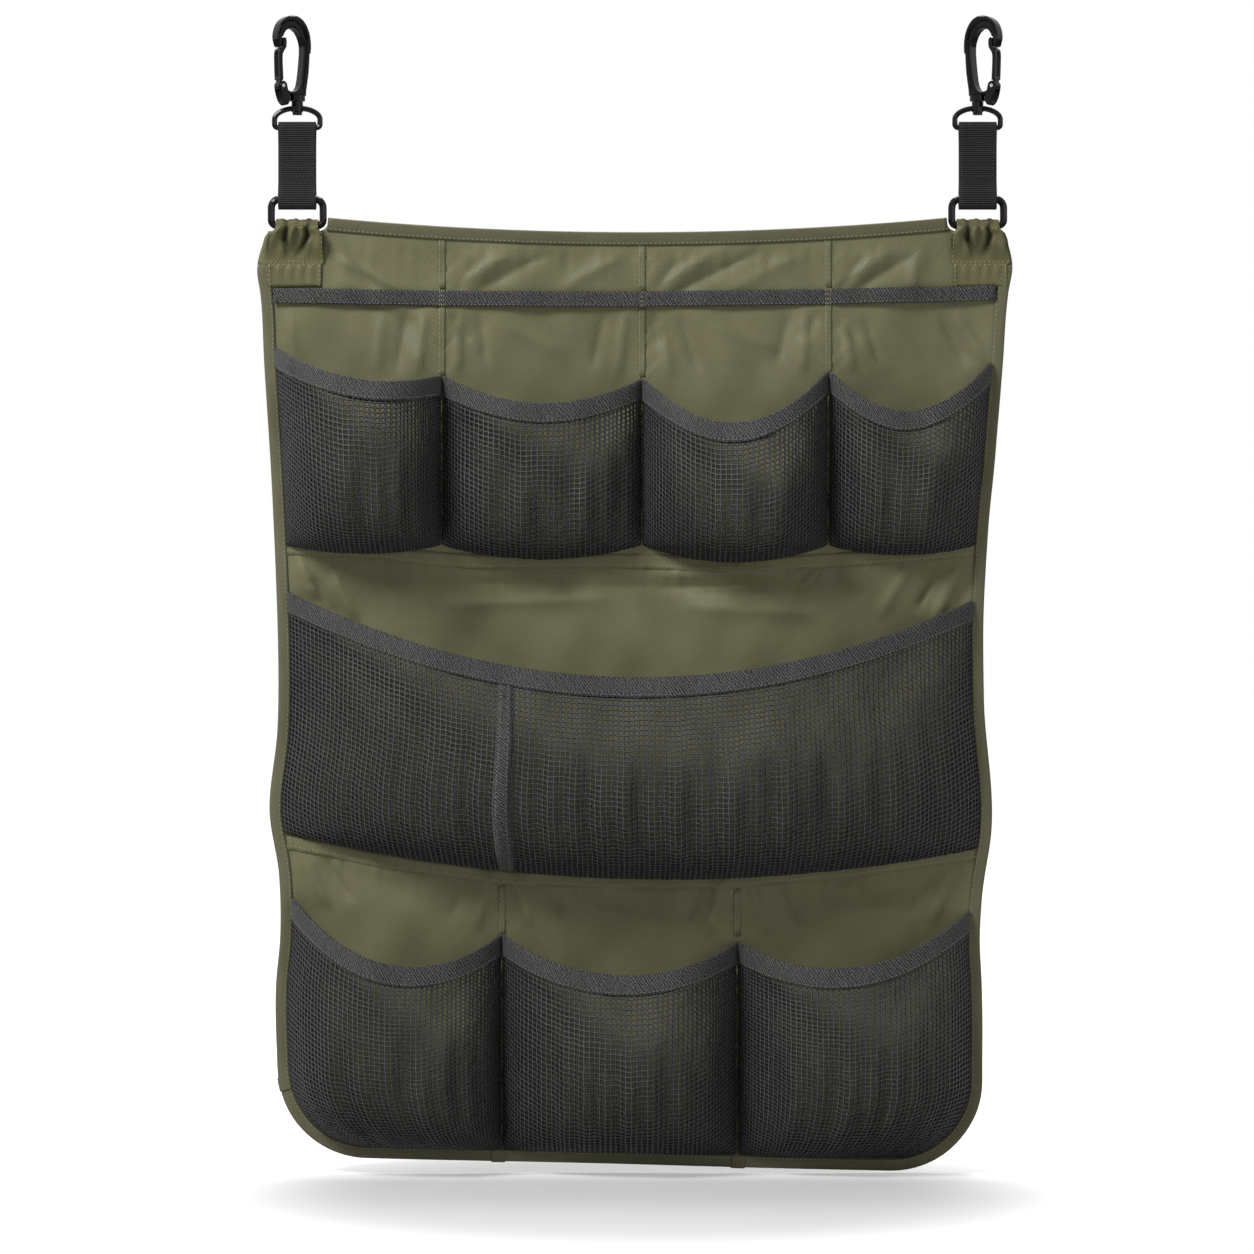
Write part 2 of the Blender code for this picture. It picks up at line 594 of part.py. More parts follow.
def make_tab(side, x):
    """A strip folded over the ring's bar, its two legs sewn to the panel's front and back."""
    wrap = RING_WIRE_RADIUS + LOOP_GAP + TAB_CLOTH / 2
    seat = PANEL_CLOTH / 2 + GAP + TAB_CLOTH / 2
    leg_steps = 5
    wrap_steps = 6
    rows = 2 * leg_steps + wrap_steps

    def place(u, v):
        row = round(v * rows)
        if row < leg_steps or row > rows - leg_steps:
            front = row < leg_steps
            step = row if front else rows - row
            down = TAB_DROP * (1 - step / leg_steps)
            out = seat + (wrap - seat) * (1 - ease(down / (2 * TAB_FLARE_START)))
            way = -1 if front else 1
            gather = math.sin(math.pi * down / TAB_DROP) * TAB_GATHER_DEPTH
            gather *= 0.5 - 0.5 * math.cos(2 * math.pi * TAB_GATHERS * u)
            y = way * (out + gather)
            z = TAB_BAR_Z - down
        else:
            turn = math.pi * (row - leg_steps) / wrap_steps
            down = 0.0
            y = -wrap * math.cos(turn)
            z = TAB_BAR_Z + wrap * math.sin(turn)
        flare = ease((down - TAB_FLARE_START) / (TAB_DROP - TAB_FLARE_START))
        width = TAB_TOP_WIDTH + (TAB_BOTTOM_WIDTH - TAB_TOP_WIDTH) * flare
        return Vector((x + (u - 0.5) * width, y, z))

    return sheet(side + "_tab", 6 * TAB_GATHERS // 2, rows, place, TAB_CLOTH, "olive_nylon", 0.8)


# Panel and its tapes

def panel_rows(side, inset):
    """Drops of the panel's rows at one side, closer together round the lower corner."""
    centre = bottom_drop(0 if side < 0 else 1) - PANEL_CORNER_RADIUS
    straight = np.linspace(BINDING_START_DROP, centre, 18)
    corner = [centre + (PANEL_CORNER_RADIUS - inset) * math.sin(a)
              for a in np.linspace(0, math.pi / 2, 7)[1:]]
    return [SIDE_TOP_DROP, *straight, *corner]


def panel_columns():
    """Shares of the way across the panel, with lines at the sides of both notches."""
    inner = HANGER_X - NOTCH_HALF_WIDTH
    under_tab = TAB_TOP_WIDTH / 3
    outer = [-PANEL_WIDTH / 2, -HANGER_X - under_tab, -HANGER_X + under_tab, -inner]
    middle = list(np.linspace(-inner + NOTCH_STEP, inner - NOTCH_STEP, 17))
    places = outer + middle + [-x for x in reversed(outer)]
    return [(x + PANEL_WIDTH / 2) / PANEL_WIDTH for x in places]


def make_panel():
    left_rows = panel_rows(-1, PANEL_EDGE_INSET)
    right_rows = panel_rows(1, PANEL_EDGE_INSET)
    columns = panel_columns()
    count = len(left_rows) - 1

    def place(u, v):
        across = columns[round(u * (len(columns) - 1))]
        row = round(v * count)
        left_drop, right_drop = left_rows[row], right_rows[row]
        drop = left_drop + (right_drop - left_drop) * across
        nominal = (across - 0.5) * PANEL_WIDTH
        if abs(nominal) < PANEL_WIDTH / 2 - 0.001:
            drop += (top_drop(nominal) - SIDE_TOP_DROP) * (1 - row / count) ** 2
        left = side_x(-1, left_drop, PANEL_EDGE_INSET)
        right = side_x(1, right_drop, PANEL_EDGE_INSET)
        free = left + (right - left) * across
        held = min(max(nominal, left), right)
        x = free + (held - free) * (1 - ease((drop - PANEL_NOTCH_DROP) / NOTCH_REACH))
        return Vector((x, panel_y(x, drop), height(drop)))

    return sheet("back_panel", len(columns) - 1, count, place, PANEL_CLOTH, "olive_nylon", 0.82)


def edge_path():
    """The panel's outline from the left tab round the lower edge to the right tab, as (x, drop)."""
    left, right = [[(side_x(side, drop), drop) for drop in panel_rows(side, 0.0)[1:]] for side in (-1, 1)]
    start, end = np.array(left[-1]), np.array(right[-1])
    middle = [tuple(start + (end - start) * t) for t in np.linspace(0, 1, 14)[1:-1]]
    return left + middle + right[::-1]


def folded_tape(name, path, width, colour, closed_side):
    """Tape folded over an edge: path(t) gives (x, drop) and the way into the cloth."""
    offset = BINDING_OFFSET
    section = ((width, -offset), (TAPE_FOLD, -offset), (TAPE / 2, 0.0), (TAPE_FOLD, offset),
               (width, offset))

    def place(u, v):
        (x, drop), (inward_x, inward_drop) = path(u)
        inward, out = section[round(v * (len(section) - 1))]
        x += inward_x * inward
        drop += inward_drop * inward
        return Vector((x, panel_y(x, drop) + out, height(drop)))

    return sheet(name, closed_side, len(section) - 1, place, TAPE, colour, 0.85)


def make_edge_binding():
    points = edge_path()
    count = len(points) - 1

    def path(t):
        index = round(t * count)
        before = np.array(points[max(index - 1, 0)])
        after = np.array(points[min(index + 1, count)])
        run = (after - before) / np.linalg.norm(after - before)
        return points[index], (run[1], -run[0])

    return folded_tape("edge_binding", path, EDGE_BINDING_WIDTH, "olive_tape", count)


def make_top_binding():
    reach = HANGER_X - NOTCH_HALF_WIDTH - 0.0005

    def path(t):
        x = reach * (2 * t - 1)
        slope = -2 * PANEL_TOP_SAG * x / (HANGER_X - NOTCH_HALF_WIDTH) ** 2
        length = math.hypot(1, slope)
        return (x, top_drop(x) - PANEL_EDGE_INSET), (-slope / length, 1 / length)

    return folded_tape("top_binding", path, TOP_BINDING_WIDTH, "olive_tape", 16)


def make_loop_tape():
    left, middle, right = LOOP_TAPE_DROPS
    start = side_x(-1, left, EDGE_BINDING_WIDTH + GAP)
    end = side_x(1, right, EDGE_BINDING_WIDTH + GAP)
    tacks = (start, *UPPER_SEAMS, end)
    steps_per_loop = 9

    def place(u, v):
        station = u * (len(tacks) - 1)
        loop = min(int(station + 1e-6), len(tacks) - 2)
        share = station - loop
        x = tacks[loop] + (tacks[loop + 1] - tacks[loop]) * share
        across = (x - start) / (end - start)
        drop = left + (right - left) * across + (middle - (left + right) / 2) * 4 * across * (1 - across)
        drop += LOOP_TAPE_WIDTH * (v - 0.5)
        bow = LOOP_TAPE_BOW * math.sin(math.pi * share) ** 2
        seat = PANEL_CLOTH / 2 + GAP + LOOP_TAPE / 2
        return Vector((x, panel_y(x, drop) - seat - bow, height(drop)))

    return sheet("gear_loop_tape", steps_per_loop * (len(tacks) - 1), 1, place, LOOP_TAPE,
                 "grey_tape", 0.85)


# Pockets

class Pocket:
    """One net pocket: where its sides, mouth and bottom lie and how far it stands out."""

    def __init__(self, name, left, right, mouth, dip, depth, bottom, sag, columns=12):
        self.name = name
        self.left = left
        self.right = right
        self.mouth = mouth
        self.dip = dip
        self.depth = depth
        self.bottom = bottom
        self.sag = sag
        self.columns = columns

    def side(self, way, drop):
        fixed = self.left if way < 0 else self.right
        if fixed is None:
            return side_x(way, drop, EDGE_BINDING_WIDTH + TAPE + 2 * GAP)
        return fixed - way * SEAM_HALF

    def mouth_drop(self, u):
        start, end = self.mouth
        return start + (end - start) * u + self.dip * 4 * u * (1 - u)

    def bottom_drop(self, u):
        if self.bottom is None:
            left, right = [self.side(way, self.mouth[0]) for way in (-1, 1)]
            share = (left + (right - left) * u) / PANEL_WIDTH + 0.5
            return bottom_drop(share) - EDGE_BINDING_WIDTH - TAPE - 2 * GAP
        start, end = self.bottom
        return start + (end - start) * u + self.sag * 4 * u * (1 - u)

    def middle(self, u, down):
        """The net's middle, at the share u across and a distance down from the mouth."""
        top = self.mouth_drop(u)
        length = self.bottom_drop(u) - top
        v = min(max(down / length, 0.0), 1.0)
        drop = top + down
        left = self.side(-1, drop)
        right = self.side(1, drop)
        x = left + (right - left) * u
        round_out = (1 - abs(2 * u - 1) ** ROUND_FRONT) ** ROUND_SIDES
        filling = math.sin(math.pi / 2 * min(v / FULLEST_SHARE, 1.0))
        fullness = MOUTH_FULLNESS + (1 - MOUTH_FULLNESS) * filling
        bulge = self.depth * round_out * fullness * math.sqrt(max(1 - v ** ROUND_BOTTOM, 0.0))
        seat = NET_SEAT + (MOUTH_SEAT - NET_SEAT) * (1 - ease((down - MOUTH_BINDING_WIDTH) / SEAT_RUN))
        return Vector((x, panel_y(x, drop) - seat - bulge, height(drop)))

    def outward(self, u, down):
        """Unit normal of the net, pointing out of the pocket."""
        step = 0.004
        near_left = max(u - step, 0.0)
        near_right = min(u + step, 1.0)
        across = self.middle(near_right, down) - self.middle(near_left, down)
        along_net = self.middle(u, down + 0.001) - self.middle(u, max(down - 0.001, 0.0))
        normal = along_net.cross(across)
        normal.normalize()
        return normal

    def share(self, u):
        """Columns lie closer together near the seams, where the net turns hardest."""
        return (1 - math.cos(math.pi * u)) / 2


NET_ROWS = (0.0, 0.14, 0.32, 0.50, 0.66, 0.80, 0.90, 0.96, 1.0)    # below the mouth's binding


def make_net(pocket):
    def place(u, v):
        across = pocket.share(u)
        bound = MOUTH_BINDING_WIDTH + NET
        length = pocket.bottom_drop(across) - pocket.mouth_drop(across) - bound
        row = round(v * len(NET_ROWS)) - 1
        return pocket.middle(across, bound + NET_ROWS[row] * length if row >= 0 else 0.0)

    return sheet(pocket.name, pocket.columns, len(NET_ROWS), place, NET, "black_net", 0.9)


def make_mouth_binding(pocket):
    offset = MOUTH_BINDING_OFFSET
    section = ((MOUTH_BINDING_WIDTH, offset), (0.0, offset), (-offset, 0.0), (0.0, -offset),
               (MOUTH_BINDING_WIDTH, -offset))

    def place(u, v):
        across = pocket.share(u)
        down, out = section[round(v * (len(section) - 1))]
        if down < 0:
            return pocket.middle(across, 0.0) + Vector((0, 0, -down))
        return pocket.middle(across, down) + pocket.outward(across, down) * out

    return sheet(pocket.name + "_binding", pocket.columns, len(section) - 1, place, TAPE,
                 "grey_tape", 0.85)


def row_of_pockets(name, seams, mouths, dips, depths, bottom, sag):
    edges = (None, *seams, None)
    pockets = []
    for index, (dip, depth) in enumerate(zip(dips, depths)):
        pockets.append(Pocket(f"{name}_{index + 1}", edges[index], edges[index + 1],
                              (mouths[index], mouths[index + 1]), dip, depth, bottom, sag))
    return pockets


UPPER_ROW = row_of_pockets("upper_pocket", UPPER_SEAMS, UPPER_MOUTH_DROPS, UPPER_MOUTH_DIPS,
                           UPPER_DEPTHS, (UPPER_BOTTOM_DROP, UPPER_BOTTOM_DROP), UPPER_BOTTOM_SAG)
WIDE_POCKET = Pocket("wide_pocket", None, None, WIDE_MOUTH_DROPS, WIDE_MOUTH_DIP, WIDE_DEPTH,
                     WIDE_BOTTOM_DROPS, WIDE_BOTTOM_SAG, columns=22)
LOWER_ROW = row_of_pockets("lower_pocket", LOWER_SEAMS, LOWER_MOUTH_DROPS, LOWER_MOUTH_DIPS,
                           LOWER_DEPTHS, None, 0.0)


def make_wide_pocket_tape(pocket):
    """Flat tape down the front of the wide pocket's net, from its binding to its bottom."""
    offset = NET / 2 + GAP + TAPE / 2
    rows = 14

    def place(u, v):
        left = pocket.side(-1, pocket.mouth[0])
        right = pocket.side(1, pocket.mouth[1])
        x = WIDE_TAPE_X + WIDE_TAPE_WIDTH * (u - 0.5)
        across = (x - left) / (right - left)
        length = pocket.bottom_drop(across) - pocket.mouth_drop(across)
        start = MOUTH_BINDING_WIDTH + GAP
        down = start + (length * WIDE_TAPE_SHARE - start) * math.sin(math.pi / 2 * v)
        return pocket.middle(across, down) + pocket.outward(across, down) * offset

    return sheet("wide_pocket_tape", 1, rows, place, TAPE, "grey_tape", 0.85)


# Assembly

def make_hanger(side, way):
    x = way * HANGER_X
    turn = HOOK_TURN if way < 0 else math.pi - HOOK_TURN
    hook_axis = empty(side + "_hook_axis", (x, 0, 0), turn=turn)
    make_hook_body(side, hook_axis)
    make_gate_pin(side, hook_axis)
    gate = make_gate(side, hook_axis)
    gate_axis = empty(side + "_gate_axis", (PIN_X, 0, PIN_Z), hook_axis)
    gate.parent = gate_axis
    gate.matrix_parent_inverse = Matrix.Translation((-PIN_X, 0, -PIN_Z))
    make_swivel_eye(side, x)
    make_strap(side, x)
    make_ring(side, x)
    make_tab(side, x)


make_hanger("left", -1)
make_hanger("right", 1)
make_panel()
make_edge_binding()
make_top_binding()
make_loop_tape()
for pocket in (*UPPER_ROW, WIDE_POCKET, *LOWER_ROW):
    make_net(pocket)
    make_mouth_binding(pocket)
make_wide_pocket_tape(WIDE_POCKET)
bpy.context.view_layer.update()
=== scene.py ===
"""Hanging tent organizer: a bound nylon panel with rows of net pockets on two swivel snap hooks.

Metres, +Z up, front towards -Y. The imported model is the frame, and each piece is placed from it.
"""
import math

import bmesh
import bpy
import numpy as np
from mathutils import Matrix, Vector


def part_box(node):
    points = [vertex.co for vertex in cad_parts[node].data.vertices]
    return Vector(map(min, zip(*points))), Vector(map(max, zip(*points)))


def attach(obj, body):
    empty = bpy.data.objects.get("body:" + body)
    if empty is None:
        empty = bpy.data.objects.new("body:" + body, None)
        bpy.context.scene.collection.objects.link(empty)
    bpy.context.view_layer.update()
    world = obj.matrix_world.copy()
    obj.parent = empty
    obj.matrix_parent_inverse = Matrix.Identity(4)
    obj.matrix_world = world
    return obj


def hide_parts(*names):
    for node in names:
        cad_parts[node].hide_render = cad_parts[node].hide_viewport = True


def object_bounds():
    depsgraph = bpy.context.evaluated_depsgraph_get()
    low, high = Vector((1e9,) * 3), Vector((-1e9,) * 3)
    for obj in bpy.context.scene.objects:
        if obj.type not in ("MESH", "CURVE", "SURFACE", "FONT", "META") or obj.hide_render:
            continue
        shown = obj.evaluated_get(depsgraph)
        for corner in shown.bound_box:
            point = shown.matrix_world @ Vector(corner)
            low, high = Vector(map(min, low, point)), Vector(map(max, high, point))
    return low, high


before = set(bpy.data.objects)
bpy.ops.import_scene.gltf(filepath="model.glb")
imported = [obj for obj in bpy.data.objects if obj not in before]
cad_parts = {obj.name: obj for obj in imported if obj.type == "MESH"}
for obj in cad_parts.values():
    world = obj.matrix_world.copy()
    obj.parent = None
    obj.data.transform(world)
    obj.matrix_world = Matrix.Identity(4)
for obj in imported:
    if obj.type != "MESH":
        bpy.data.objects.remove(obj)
cad_box = [list(corner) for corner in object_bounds()]


# Studio
# A plain pale floor, plain soft lamps and the camera at the photograph's place. The floor is matt
# painted board: it reads as white to the camera and keeps the soft shadow of what hangs above it.

CAMERA_DISTANCE = 3.0
VIEW_WIDTH = 0.8276          # what the frame takes in at the panel's distance
VIEW_MIDDLE = (-0.0069, -0.3949)
VIEW_END = 100.0
SENSOR_MM = 36.0
FLOOR_GAP = 0.0015           # between the panel's lower edge and the floor
FLOOR_SIZE = 40.0
FLOOR_GREY = "#CECECE"
# Extra white on the floor that only the camera sees. It grows with the distance from a place in
# front of the panel, and a little more, painted light that lightens the panel's contact shadow,
# lies right under the panel's lower edge.
LIFT_PLACE = 0.12
FLOOR_LIFT = (0.17, 1.0)
FLOOR_LIFT_REACH = (0.16, 0.40)
CONTACT_PAINTED_LIGHT = 0.22
PAINTED_LIGHT_AHEAD = (0.065, 0.120)
PAINTED_LIGHT_BEHIND = (0.115, 0.124)
AMBIENT_TINT = "#F4F6FA"
AMBIENT_STRENGTH = 0.13
PART_MIDDLE = (0.0, 0.0, -0.40)
LAMPS = (
    ("key_softbox", (-1.5, -1.4, 1.3), PART_MIDDLE, (0.8, 0.8), 62),
    ("fill_softbox", (1.9, -2.2, -0.10), PART_MIDDLE, (1.8, 1.8), 13),
    ("top_softbox", (0.0, 0.475, 1.10), (0.0, 0.475, -0.76), (1.2, 0.52), 24),
)                            # place, aim, size in metres and watts


def linear(code):
    """An sRGB hex colour as linear RGBA."""
    values = [int(code[start:start + 2], 16) / 255 for start in (1, 3, 5)]
    return (*[v / 12.92 if v <= 0.04045 else ((v + 0.055) / 1.055) ** 2.4 for v in values], 1.0)


def node(tree, kind, inputs=(), **settings):
    """Add a node with its settings. Inputs, in order or by name, are values, sockets or nodes."""
    made = tree.nodes.new(kind)
    for name, value in settings.items():
        setattr(made, name, value)
    for name, value in inputs.items() if isinstance(inputs, dict) else enumerate(inputs):
        if isinstance(value, bpy.types.Node):
            value = value.outputs[0]
        if isinstance(value, bpy.types.NodeSocket):
            tree.links.new(value, made.inputs[name])
        else:
            made.inputs[name].default_value = value
    return made


def new_material(name):
    material = bpy.data.materials.new(name)
    material.use_nodes = True
    material.node_tree.nodes.clear()
    return material, material.node_tree


def new_object(name, mesh):
    made = bpy.data.objects.new(name, mesh)
    bpy.context.scene.collection.objects.link(made)
    return made


def make_floor():
    bm = bmesh.new()
    bmesh.ops.create_grid(bm, x_segments=1, y_segments=1, size=FLOOR_SIZE / 2)
    mesh = bpy.data.meshes.new("studio_floor")
    bm.to_mesh(mesh)
    bm.free()
    mesh.transform(Matrix.Translation((0, 0, cad_box[0][2] - FLOOR_GAP)))
    floor = new_object("studio_floor", mesh)
    paint, tree = new_material("matt_floor_paint")
    place = node(tree, "ShaderNodeTexCoord").outputs["Object"]
    centred = node(tree, "ShaderNodeMapping", {0: place, "Location": (0, LIFT_PLACE, 0),
                                               "Scale": (1.0, 1.0, 0)})
    away = node(tree, "ShaderNodeVectorMath", (centred,), operation="LENGTH").outputs["Value"]
    depth = node(tree, "ShaderNodeSeparateXYZ", (centred,)).outputs["Y"]
    # The second and third ranges give the painted light that lightens the contact shadow.
    far, ahead, behind = [
        node(tree, "ShaderNodeMapRange", (value, *reach, *levels), interpolation_type="SMOOTHSTEP")
        for value, reach, levels in (
            (away, FLOOR_LIFT_REACH, FLOOR_LIFT), (depth, PAINTED_LIGHT_AHEAD, (0.0, CONTACT_PAINTED_LIGHT)),
            (depth, PAINTED_LIGHT_BEHIND, (1.0, 0.0)))]
    lifted = node(tree, "ShaderNodeMath", (ahead, behind, far), operation="MULTIPLY_ADD")
    rays = node(tree, "ShaderNodeLightPath").outputs
    seen = node(tree, "ShaderNodeMath", (rays["Is Camera Ray"], lifted), operation="MULTIPLY")
    board = node(tree, "ShaderNodeBsdfDiffuse", {"Color": linear(FLOOR_GREY)})
    lift = node(tree, "ShaderNodeEmission", {"Strength": seen})
    both = node(tree, "ShaderNodeAddShader", (board, lift))
    below = node(tree, "ShaderNodeNewGeometry").outputs["Backfacing"]
    clear = node(tree, "ShaderNodeBsdfTransparent")
    shown = node(tree, "ShaderNodeMixShader", (below, both, clear))
    node(tree, "ShaderNodeOutputMaterial", {"Surface": shown})
    mesh.materials.append(paint)


def make_surroundings():
    """White to the camera and in gloss, and a soft even light on everything else."""
    world = bpy.data.worlds.new("white_room")
    world.use_nodes = True
    tree = world.node_tree
    tree.nodes.clear()
    rays = node(tree, "ShaderNodeLightPath").outputs
    direct = node(tree, "ShaderNodeMath", (rays["Is Camera Ray"], rays["Is Glossy Ray"]),
                  operation="MAXIMUM")
    seen = node(tree, "ShaderNodeMath", (direct, rays["Is Transmission Ray"]), operation="MAXIMUM")
    ambient = node(tree, "ShaderNodeBackground", (linear(AMBIENT_TINT), AMBIENT_STRENGTH))
    white = node(tree, "ShaderNodeBackground", (linear("#FFFFFF"), 1.0))
    mixed = node(tree, "ShaderNodeMixShader", (seen, ambient, white))
    node(tree, "ShaderNodeOutputWorld", {"Surface": mixed})
    bpy.context.scene.world = world


def make_lamp(name, place, target, size, watts):
    lamp = bpy.data.lights.new(name, "AREA")
    lamp.shape = "RECTANGLE"
    lamp.size, lamp.size_y = size
    lamp.energy = watts
    holder = new_object(name, lamp)
    holder.location = place
    holder.rotation_euler = (Vector(target) - Vector(place)).to_track_quat("-Z", "Y").to_euler()


def make_camera():
    camera = bpy.data.cameras.new("camera")
    camera.sensor_width = SENSOR_MM
    camera.lens = SENSOR_MM * CAMERA_DISTANCE / VIEW_WIDTH
    camera.clip_end = VIEW_END
    holder = new_object("camera", camera)
    holder.location = (VIEW_MIDDLE[0], -CAMERA_DISTANCE, VIEW_MIDDLE[1])
    holder.rotation_euler = (math.pi / 2, 0, 0)
    bpy.context.scene.camera = holder


make_camera()
make_floor()
make_surroundings()
for lamp in LAMPS:
    make_lamp(*lamp)
bpy.context.scene.view_settings.view_transform = "Standard"


# Snap hooks, swivel eyes and D rings
# Moulded in black acetal: a hook with a sprung gate turns on a collar in the eye that carries the
# strap, and a D ring joins strap and panel. A drawn steel pin holds each gate between its cheeks.

BLEND_RANGE = (0.3, 0.7)     # of a pattern's level, over which one shade goes over into another
ACETAL_SHADE = ("#070707", "#0F0F0E")
ACETAL_ROUGHNESS = (0.20, 0.11)    # as moulded, and polished by handling
MOULD_GRAIN = 0.00035        # fine spark-eroded grain of the mould
MOULD_GRAIN_DEPTH = 0.000003
WEAR_SIZE = 0.006            # of the polished patches
STEEL_GREY = "#A2A29E"
DRAWN_LINES = 0.00025        # drawing marks along the pin
DRAWN_DEPTH = 0.00001


def noise(tree, coordinates, size, detail=2.0, stretch=(1.0, 1.0, 1.0)):
    """Noise whose lumps are about size across, in metres, longer where stretch is above 1."""
    scaled = node(tree, "ShaderNodeMapping", {0: coordinates, "Scale": [1 / (size * s) for s in stretch]})
    return node(tree, "ShaderNodeTexNoise", {"Vector": scaled, "Scale": 1.0, "Detail": detail})


def between(tree, level, low, high):
    """A colour or a number that goes from low to high as a pattern's level crosses BLEND_RANGE."""
    if not isinstance(low, str):
        return node(tree, "ShaderNodeMapRange", (level, *BLEND_RANGE, low, high))
    ramp = node(tree, "ShaderNodeValToRGB", (level,))
    for stop, position, shade in zip(ramp.color_ramp.elements, BLEND_RANGE, (low, high)):
        stop.position, stop.color = position, linear(shade)
    return ramp


def finish_material(tree, height, depth, inputs):
    """Shader with a bump of depth metres from height, and the output."""
    bump = node(tree, "ShaderNodeBump", {"Height": height, "Distance": depth, "Strength": 1.0})
    shader = node(tree, "ShaderNodeBsdfPrincipled", {"Normal": bump, **inputs})
    node(tree, "ShaderNodeOutputMaterial", {"Surface": shader})


def make_acetal():
    """Acetal moulded against a fine grain: satin, almost black, with softly polished patches."""
    material, tree = new_material("black_moulded_acetal")
    place = node(tree, "ShaderNodeTexCoord").outputs["Object"]
    wear = noise(tree, place, WEAR_SIZE)
    finish_material(tree, noise(tree, place, MOULD_GRAIN, 1.0), MOULD_GRAIN_DEPTH, {
        "Base Color": between(tree, wear, *ACETAL_SHADE),
        "Roughness": between(tree, wear, *ACETAL_ROUGHNESS), "IOR": 1.48, "Specular IOR Level": 0.19})
    return material


def make_pin_steel():
    """Drawn steel: bright, with fine marks along its length that spread the highlight."""
    material, tree = new_material("drawn_steel")
    place = node(tree, "ShaderNodeTexCoord").outputs["Object"]
    marks = noise(tree, place, DRAWN_LINES, 1.0, (1.0, 12.0, 1.0))
    finish_material(tree, marks, DRAWN_DEPTH, {
        "Base Color": linear(STEEL_GREY), "Metallic": 1.0, "Roughness": between(tree, marks, 0.28, 0.42)})
    return material


def repaint(names, material):
    """Give a CAD node that keeps its own mesh the material made here."""
    for name in names:
        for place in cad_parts[name].material_slots:
            place.material = material


SIDES = ("left", "right")
acetal = make_acetal()
repaint([f"{side}_{piece}" for side in SIDES
         for piece in ("hook_body", "hook_gate", "swivel_eye", "ring")], acetal)
repaint([f"{side}_gate_pin" for side in SIDES], make_pin_steel())


# Straps
# A 25 mm length of ribbed black webbing goes round the eye's bar and the ring's bar, and a boxed
# seam joins its two layers between them. The lower fold hangs a little slack on the ring.

WEBBING = 0.0016
WEBBING_EDGE = 0.0005        # round of the webbing's selvedge
STRAP_SLACK = 0.0025
STRAP_SEWN = (0.0140, 0.0340)    # where its two layers lie together, below the eye's bar
LAYER_GAP = 0.00004          # between those layers
BAR_GAP = 0.00045            # between webbing or cloth and the bar it goes round
EYE_WIRE_RADIUS = 0.0018
RING_WIRE_RADIUS = 0.0025
RIB_PITCH = 0.0014           # real ribs lie a little closer and would not show
RIB_HEIGHT = 0.0005
WARP_PITCH = 0.0011
WEAVE_BUMP = 0.00008
WEBBING_SHADE_PAINTED_GROOVES = ("#3C3C3B", "#080808")    # on the ribs, and painted shade in the grooves between them
BAND = math.pi / 10          # a wave texture's bands lie this far apart at a scale of 1
BLACK_THREAD = "#1C1C1C"
THREAD_RADIUS = 0.00034
THREAD_TWIST = 0.0004
STITCH_PITCH, STITCH_LENGTH = 0.0030, 0.0023
BOX_STITCH = (0.0022, 0.0018)    # pitch and length in the strap's boxed seam
BOX_SEAM_HALF_WIDTH = 0.0100
BOX_SEAM_INSET = (0.0035, -0.0015)    # its ends, from those of the sewn stretch
BOX_SEAM_BARS = (0.32, 0.64)     # its two bars across, as shares of its length

ring_low, ring_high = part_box("left_ring")
eye_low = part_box("left_swivel_eye")[0]
HANGER_X = -(ring_low.x + ring_high.x) / 2
EYE_BAR_Z = eye_low.z + EYE_WIRE_RADIUS
RING_TOP_Z = ring_high.z - RING_WIRE_RADIUS
STRAP_LENGTH = EYE_BAR_Z - RING_TOP_Z


def ease(value):
    value = np.clip(value, 0.0, 1.0)
    return value * value * (3 - 2 * value)


def rise(value, start, length):
    """From 0 to 1, smoothly, over a length from start."""
    return ease((value - start) / length)


def arc(places):
    """Distance run along a line of places."""
    return np.concatenate([[0], np.cumsum(np.linalg.norm(np.diff(places, axis=0), axis=1))])


def thicken(piece, thickness):
    solid = piece.modifiers.new("thickness", "SOLIDIFY")
    solid.thickness = thickness
    solid.offset = 0.0
    return piece


def grid_mesh(name, points, uv=None, closed=(False, False), flip=False):
    """A mesh of quads through points[row][column], closed along rows or columns where asked."""
    points = np.asarray(points, float)
    rows, columns = points.shape[:2]
    index = np.arange(rows * columns).reshape(rows, columns)
    if closed[0]:
        index = np.vstack([index, index[:1]])
    if closed[1]:
        index = np.hstack([index, index[:, :1]])
    quads = np.stack([index[:-1, :-1], index[1:, :-1], index[1:, 1:], index[:-1, 1:]], -1).reshape(-1, 4)
    mesh = bpy.data.meshes.new(name)
    mesh.from_pydata(points.reshape(-1, 3).tolist(), [], quads.tolist())
    if uv is not None:
        layer = mesh.uv_layers.new(name="cloth")
        corner = np.empty(len(mesh.loops), np.int64)
        mesh.loops.foreach_get("vertex_index", corner)
        layer.data.foreach_set("uv", np.asarray(uv, float).reshape(-1, 2)[corner].ravel())
    if flip:
        mesh.flip_normals()
    mesh.shade_smooth()
    return mesh


def give(piece, material, body, replaced=()):
    """Finish a piece: its material, the body it rides on and the nodes it stands for."""
    piece.data.materials.clear()
    piece.data.materials.append(material)
    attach(piece, body)
    if replaced:
        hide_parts(*replaced)
    return piece


def run_nodes(name, holder, tree, inputs, thickness=None):
    """Run a tree on a holder, bake the result to a plain mesh of its own and drop the holder."""
    modifier = holder.modifiers.new("nodes", "NODES")
    modifier.node_group = tree
    for socket in tree.interface.items_tree:
        if socket.in_out == "INPUT" and socket.name in inputs:
            modifier[socket.identifier] = inputs[socket.name]
    if thickness:
        thicken(holder, thickness)
    graph = bpy.context.evaluated_depsgraph_get()
    mesh = bpy.data.meshes.new_from_object(holder.evaluated_get(graph))
    mesh.name = name
    bpy.data.objects.remove(holder, do_unlink=True)
    return new_object(name, mesh)


